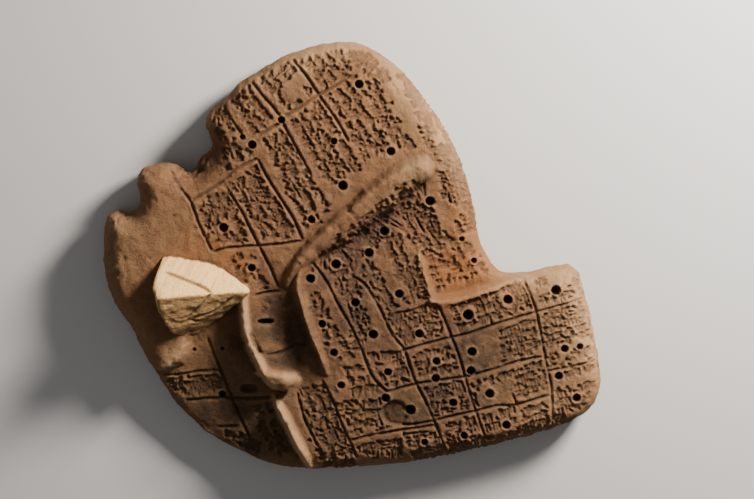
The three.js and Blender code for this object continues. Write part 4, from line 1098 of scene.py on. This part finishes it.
def firedClay(group):
    material = bpy.data.materials.new("fired clay")
    material.use_nodes = True
    tree = material.node_tree
    shader = tree.nodes["Principled BSDF"]
    spot = wire(tree, "TexCoord").outputs["Object"]

    broad, middle, grain = (placed(tree, group, spot, size) for size in tones["sizes"])
    masks = {"broadClouds": broad.outputs["Clouds"], "middleClouds": middle.outputs["Clouds"],
             "grainClouds": grain.outputs["Clouds"], "grainSpecks": grain.outputs["Specks"]}
    base = wire(tree, "RGB")
    base.outputs[0].default_value = (*tones["clay"], 1)
    colour = base.outputs[0]
    for where, tone, amount in tones["coats"]:
        if where not in masks:  # one that the mesh carries
            carried = wire(tree, "Attribute", attribute_type="GEOMETRY", attribute_name=where)
            masks[where] = carried.outputs["Fac"]
        colour = blendIn(tree, masks[where], colour, tones[tone], amount)
    tree.links.new(colour, shader.inputs["Base Color"])
    smoothest, roughest = tones["roughness"]
    rough = wire(tree, "MapRange", From_Min=0.0, From_Max=1.0, To_Min=smoothest, To_Max=roughest)
    tree.links.new(middle.outputs["Clouds"], rough.inputs["Value"])
    tree.links.new(rough.outputs[0], shader.inputs["Roughness"])
    shader.inputs["Specular IOR Level"].default_value = tones["shine"]
    heights = wire(tree, "Math", operation="MULTIPLY_ADD")
    heights.inputs[1].default_value = tones["middleBump"]
    tree.links.new(middle.outputs["Height"], heights.inputs[0])
    tree.links.new(grain.outputs["Height"], heights.inputs[2])
    bump = wire(tree, "Bump", Strength=tones["bumpStrength"], Distance=tones["bump"])
    tree.links.new(heights.outputs[0], bump.inputs["Height"])
    tree.links.new(bump.outputs["Normal"], shader.inputs["Normal"])
    return material


# the part, put together
relief, cut = makeRelief()
report("relief")
slabMesh, unrolled = shapeSlab(relief)
dense = readPoints(slabMesh)
report("slab")
facets = sum(len(face.vertices) - 2 for face in slabMesh.polygons)
share = min(1, slab["triangles"] / facets)
if share < 1:
    slabMesh = bakedFrom(slabMesh, ("TRIANGULATE", {"quad_method": "BEAUTY"}), ("DECIMATE", {"ratio": share}))
report(f"thinned from {facets} triangles")
fingerMesh, cracks = shapeFinger()
fingerHolder = linked("fingerHolder", fingerMesh)
for solver in ("MANIFOLD", "EXACT"):
    union = {"operation": "UNION", "object": fingerHolder, "solver": solver}
    joined = bakedFrom(slabMesh, ("BOOLEAN", union), ("TRIANGULATE", {}))
    top = readPoints(joined)[:, 2].max()
    print(f"finger joined by {solver.lower()}: top at {top:.1f} mm")
    if top > slab["height"] + finger["rise"] * 0.9:
        break
bpy.data.objects.remove(fingerHolder)
report("finger joined")
finishMasks(joined, dense, unrolled, cut, cracks)
joined.transform(Matrix.Scale(mm, 4))
joined.shade_smooth()
joined.name = "clayLiver"
liver = linked("clayLiver", joined)
specks = speckleGroup()
joined.materials.clear()
joined.materials.append(firedClay(specks))
print(f"clay liver: {len(joined.polygons)} triangles")
report("masks")

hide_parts("clay_liver_model")
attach(liver, "root")

# the studio: a plain pale floor, soft light from beyond the dome, and the camera almost straight above
studio = {
    "floor": (0.57, 0.556, 0.538), "floorSize": 4.0,
    "keyFrom": 46, "keyHeight": 27,  # degrees to the right of the picture's top, and up
    "keyPower": 6.35, "keySize": 0.11, "keyAway": 0.42, "keyColour": (1, 0.95, 0.88),
    "fillFrom": -110, "fillAway": 0.9, "fillHeight": 1.1,
    "fillPower": 1.2, "fillSize": 1.2, "fillColour": (0.95, 0.97, 1),
    "skyLight": 0.18,
    "roll": 20, "tilt": 8, "distance": 0.9, "target": (0.0136987, 0.0030081, 0.008),
    "sensor": 36, "pictureWidth": 754, "focalPixels": 2745,  # the lens, as the picture's pixels give it
}


def layFloor(group):
    bm = bmesh.new()
    bmesh.ops.create_grid(bm, x_segments=8, y_segments=8, size=studio["floorSize"] / 2)
    floor = linked("floor", meshFrom(bm, "floor"))
    material = bpy.data.materials.new("pale floor")
    material.use_nodes = True
    tree = material.node_tree
    shader = tree.nodes["Principled BSDF"]
    clouds = placed(tree, group, wire(tree, "TexCoord").outputs["Object"], 3)
    base = wire(tree, "RGB")
    base.outputs[0].default_value = (*studio["floor"], 1)
    darker = [share * 0.96 for share in studio["floor"]]
    colour = blendIn(tree, clouds.outputs["Clouds"], base.outputs[0], darker, 1)
    tree.links.new(colour, shader.inputs["Base Color"])
    shader.inputs["Roughness"].default_value = 0.8
    floor.data.materials.append(material)


def addLight(name, at):  # a square lamp turned to the middle
    light = linked(name, bpy.data.lights.new(name, "AREA"))
    light.data.energy, light.data.size = studio[name + "Power"], studio[name + "Size"]
    light.data.color = studio[name + "Colour"]
    light.location = at
    light.rotation_euler = at.to_track_quat("Z", "Y").to_euler()


def pictureWay(degrees):  # a level direction, in degrees to the right of the picture's top
    a = math.radians(studio["roll"] + degrees)
    return Vector((math.sin(a), math.cos(a), 0))


layFloor(specks)
high = math.radians(studio["keyHeight"])
key = pictureWay(studio["keyFrom"]) * math.cos(high) + Vector((0, 0, math.sin(high)))
addLight("key", key * studio["keyAway"])
addLight("fill", pictureWay(studio["fillFrom"]) * studio["fillAway"] + Vector((0, 0, studio["fillHeight"])))
world = bpy.data.worlds.new("studio")
world.use_nodes = True
world.node_tree.nodes["Background"].inputs["Color"].default_value = (1, 1, 1, 1)
world.node_tree.nodes["Background"].inputs["Strength"].default_value = studio["skyLight"]
bpy.context.scene.world = world

tilt = math.radians(studio["tilt"])
right = pictureWay(90)
back = Vector((0, 0, math.cos(tilt))) + pictureWay(0) * math.sin(tilt)
up = back.cross(right)
camera = linked("camera", bpy.data.cameras.new("camera"))
camera.data.sensor_width = studio["sensor"]
camera.data.lens = studio["focalPixels"] / studio["pictureWidth"] * studio["sensor"]
camera.matrix_world = (Matrix.Translation(Vector(studio["target"]) + back * studio["distance"])
                       @ Matrix((right, up, back)).transposed().to_4x4())
bpy.context.scene.camera = camera

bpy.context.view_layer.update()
report("scene")
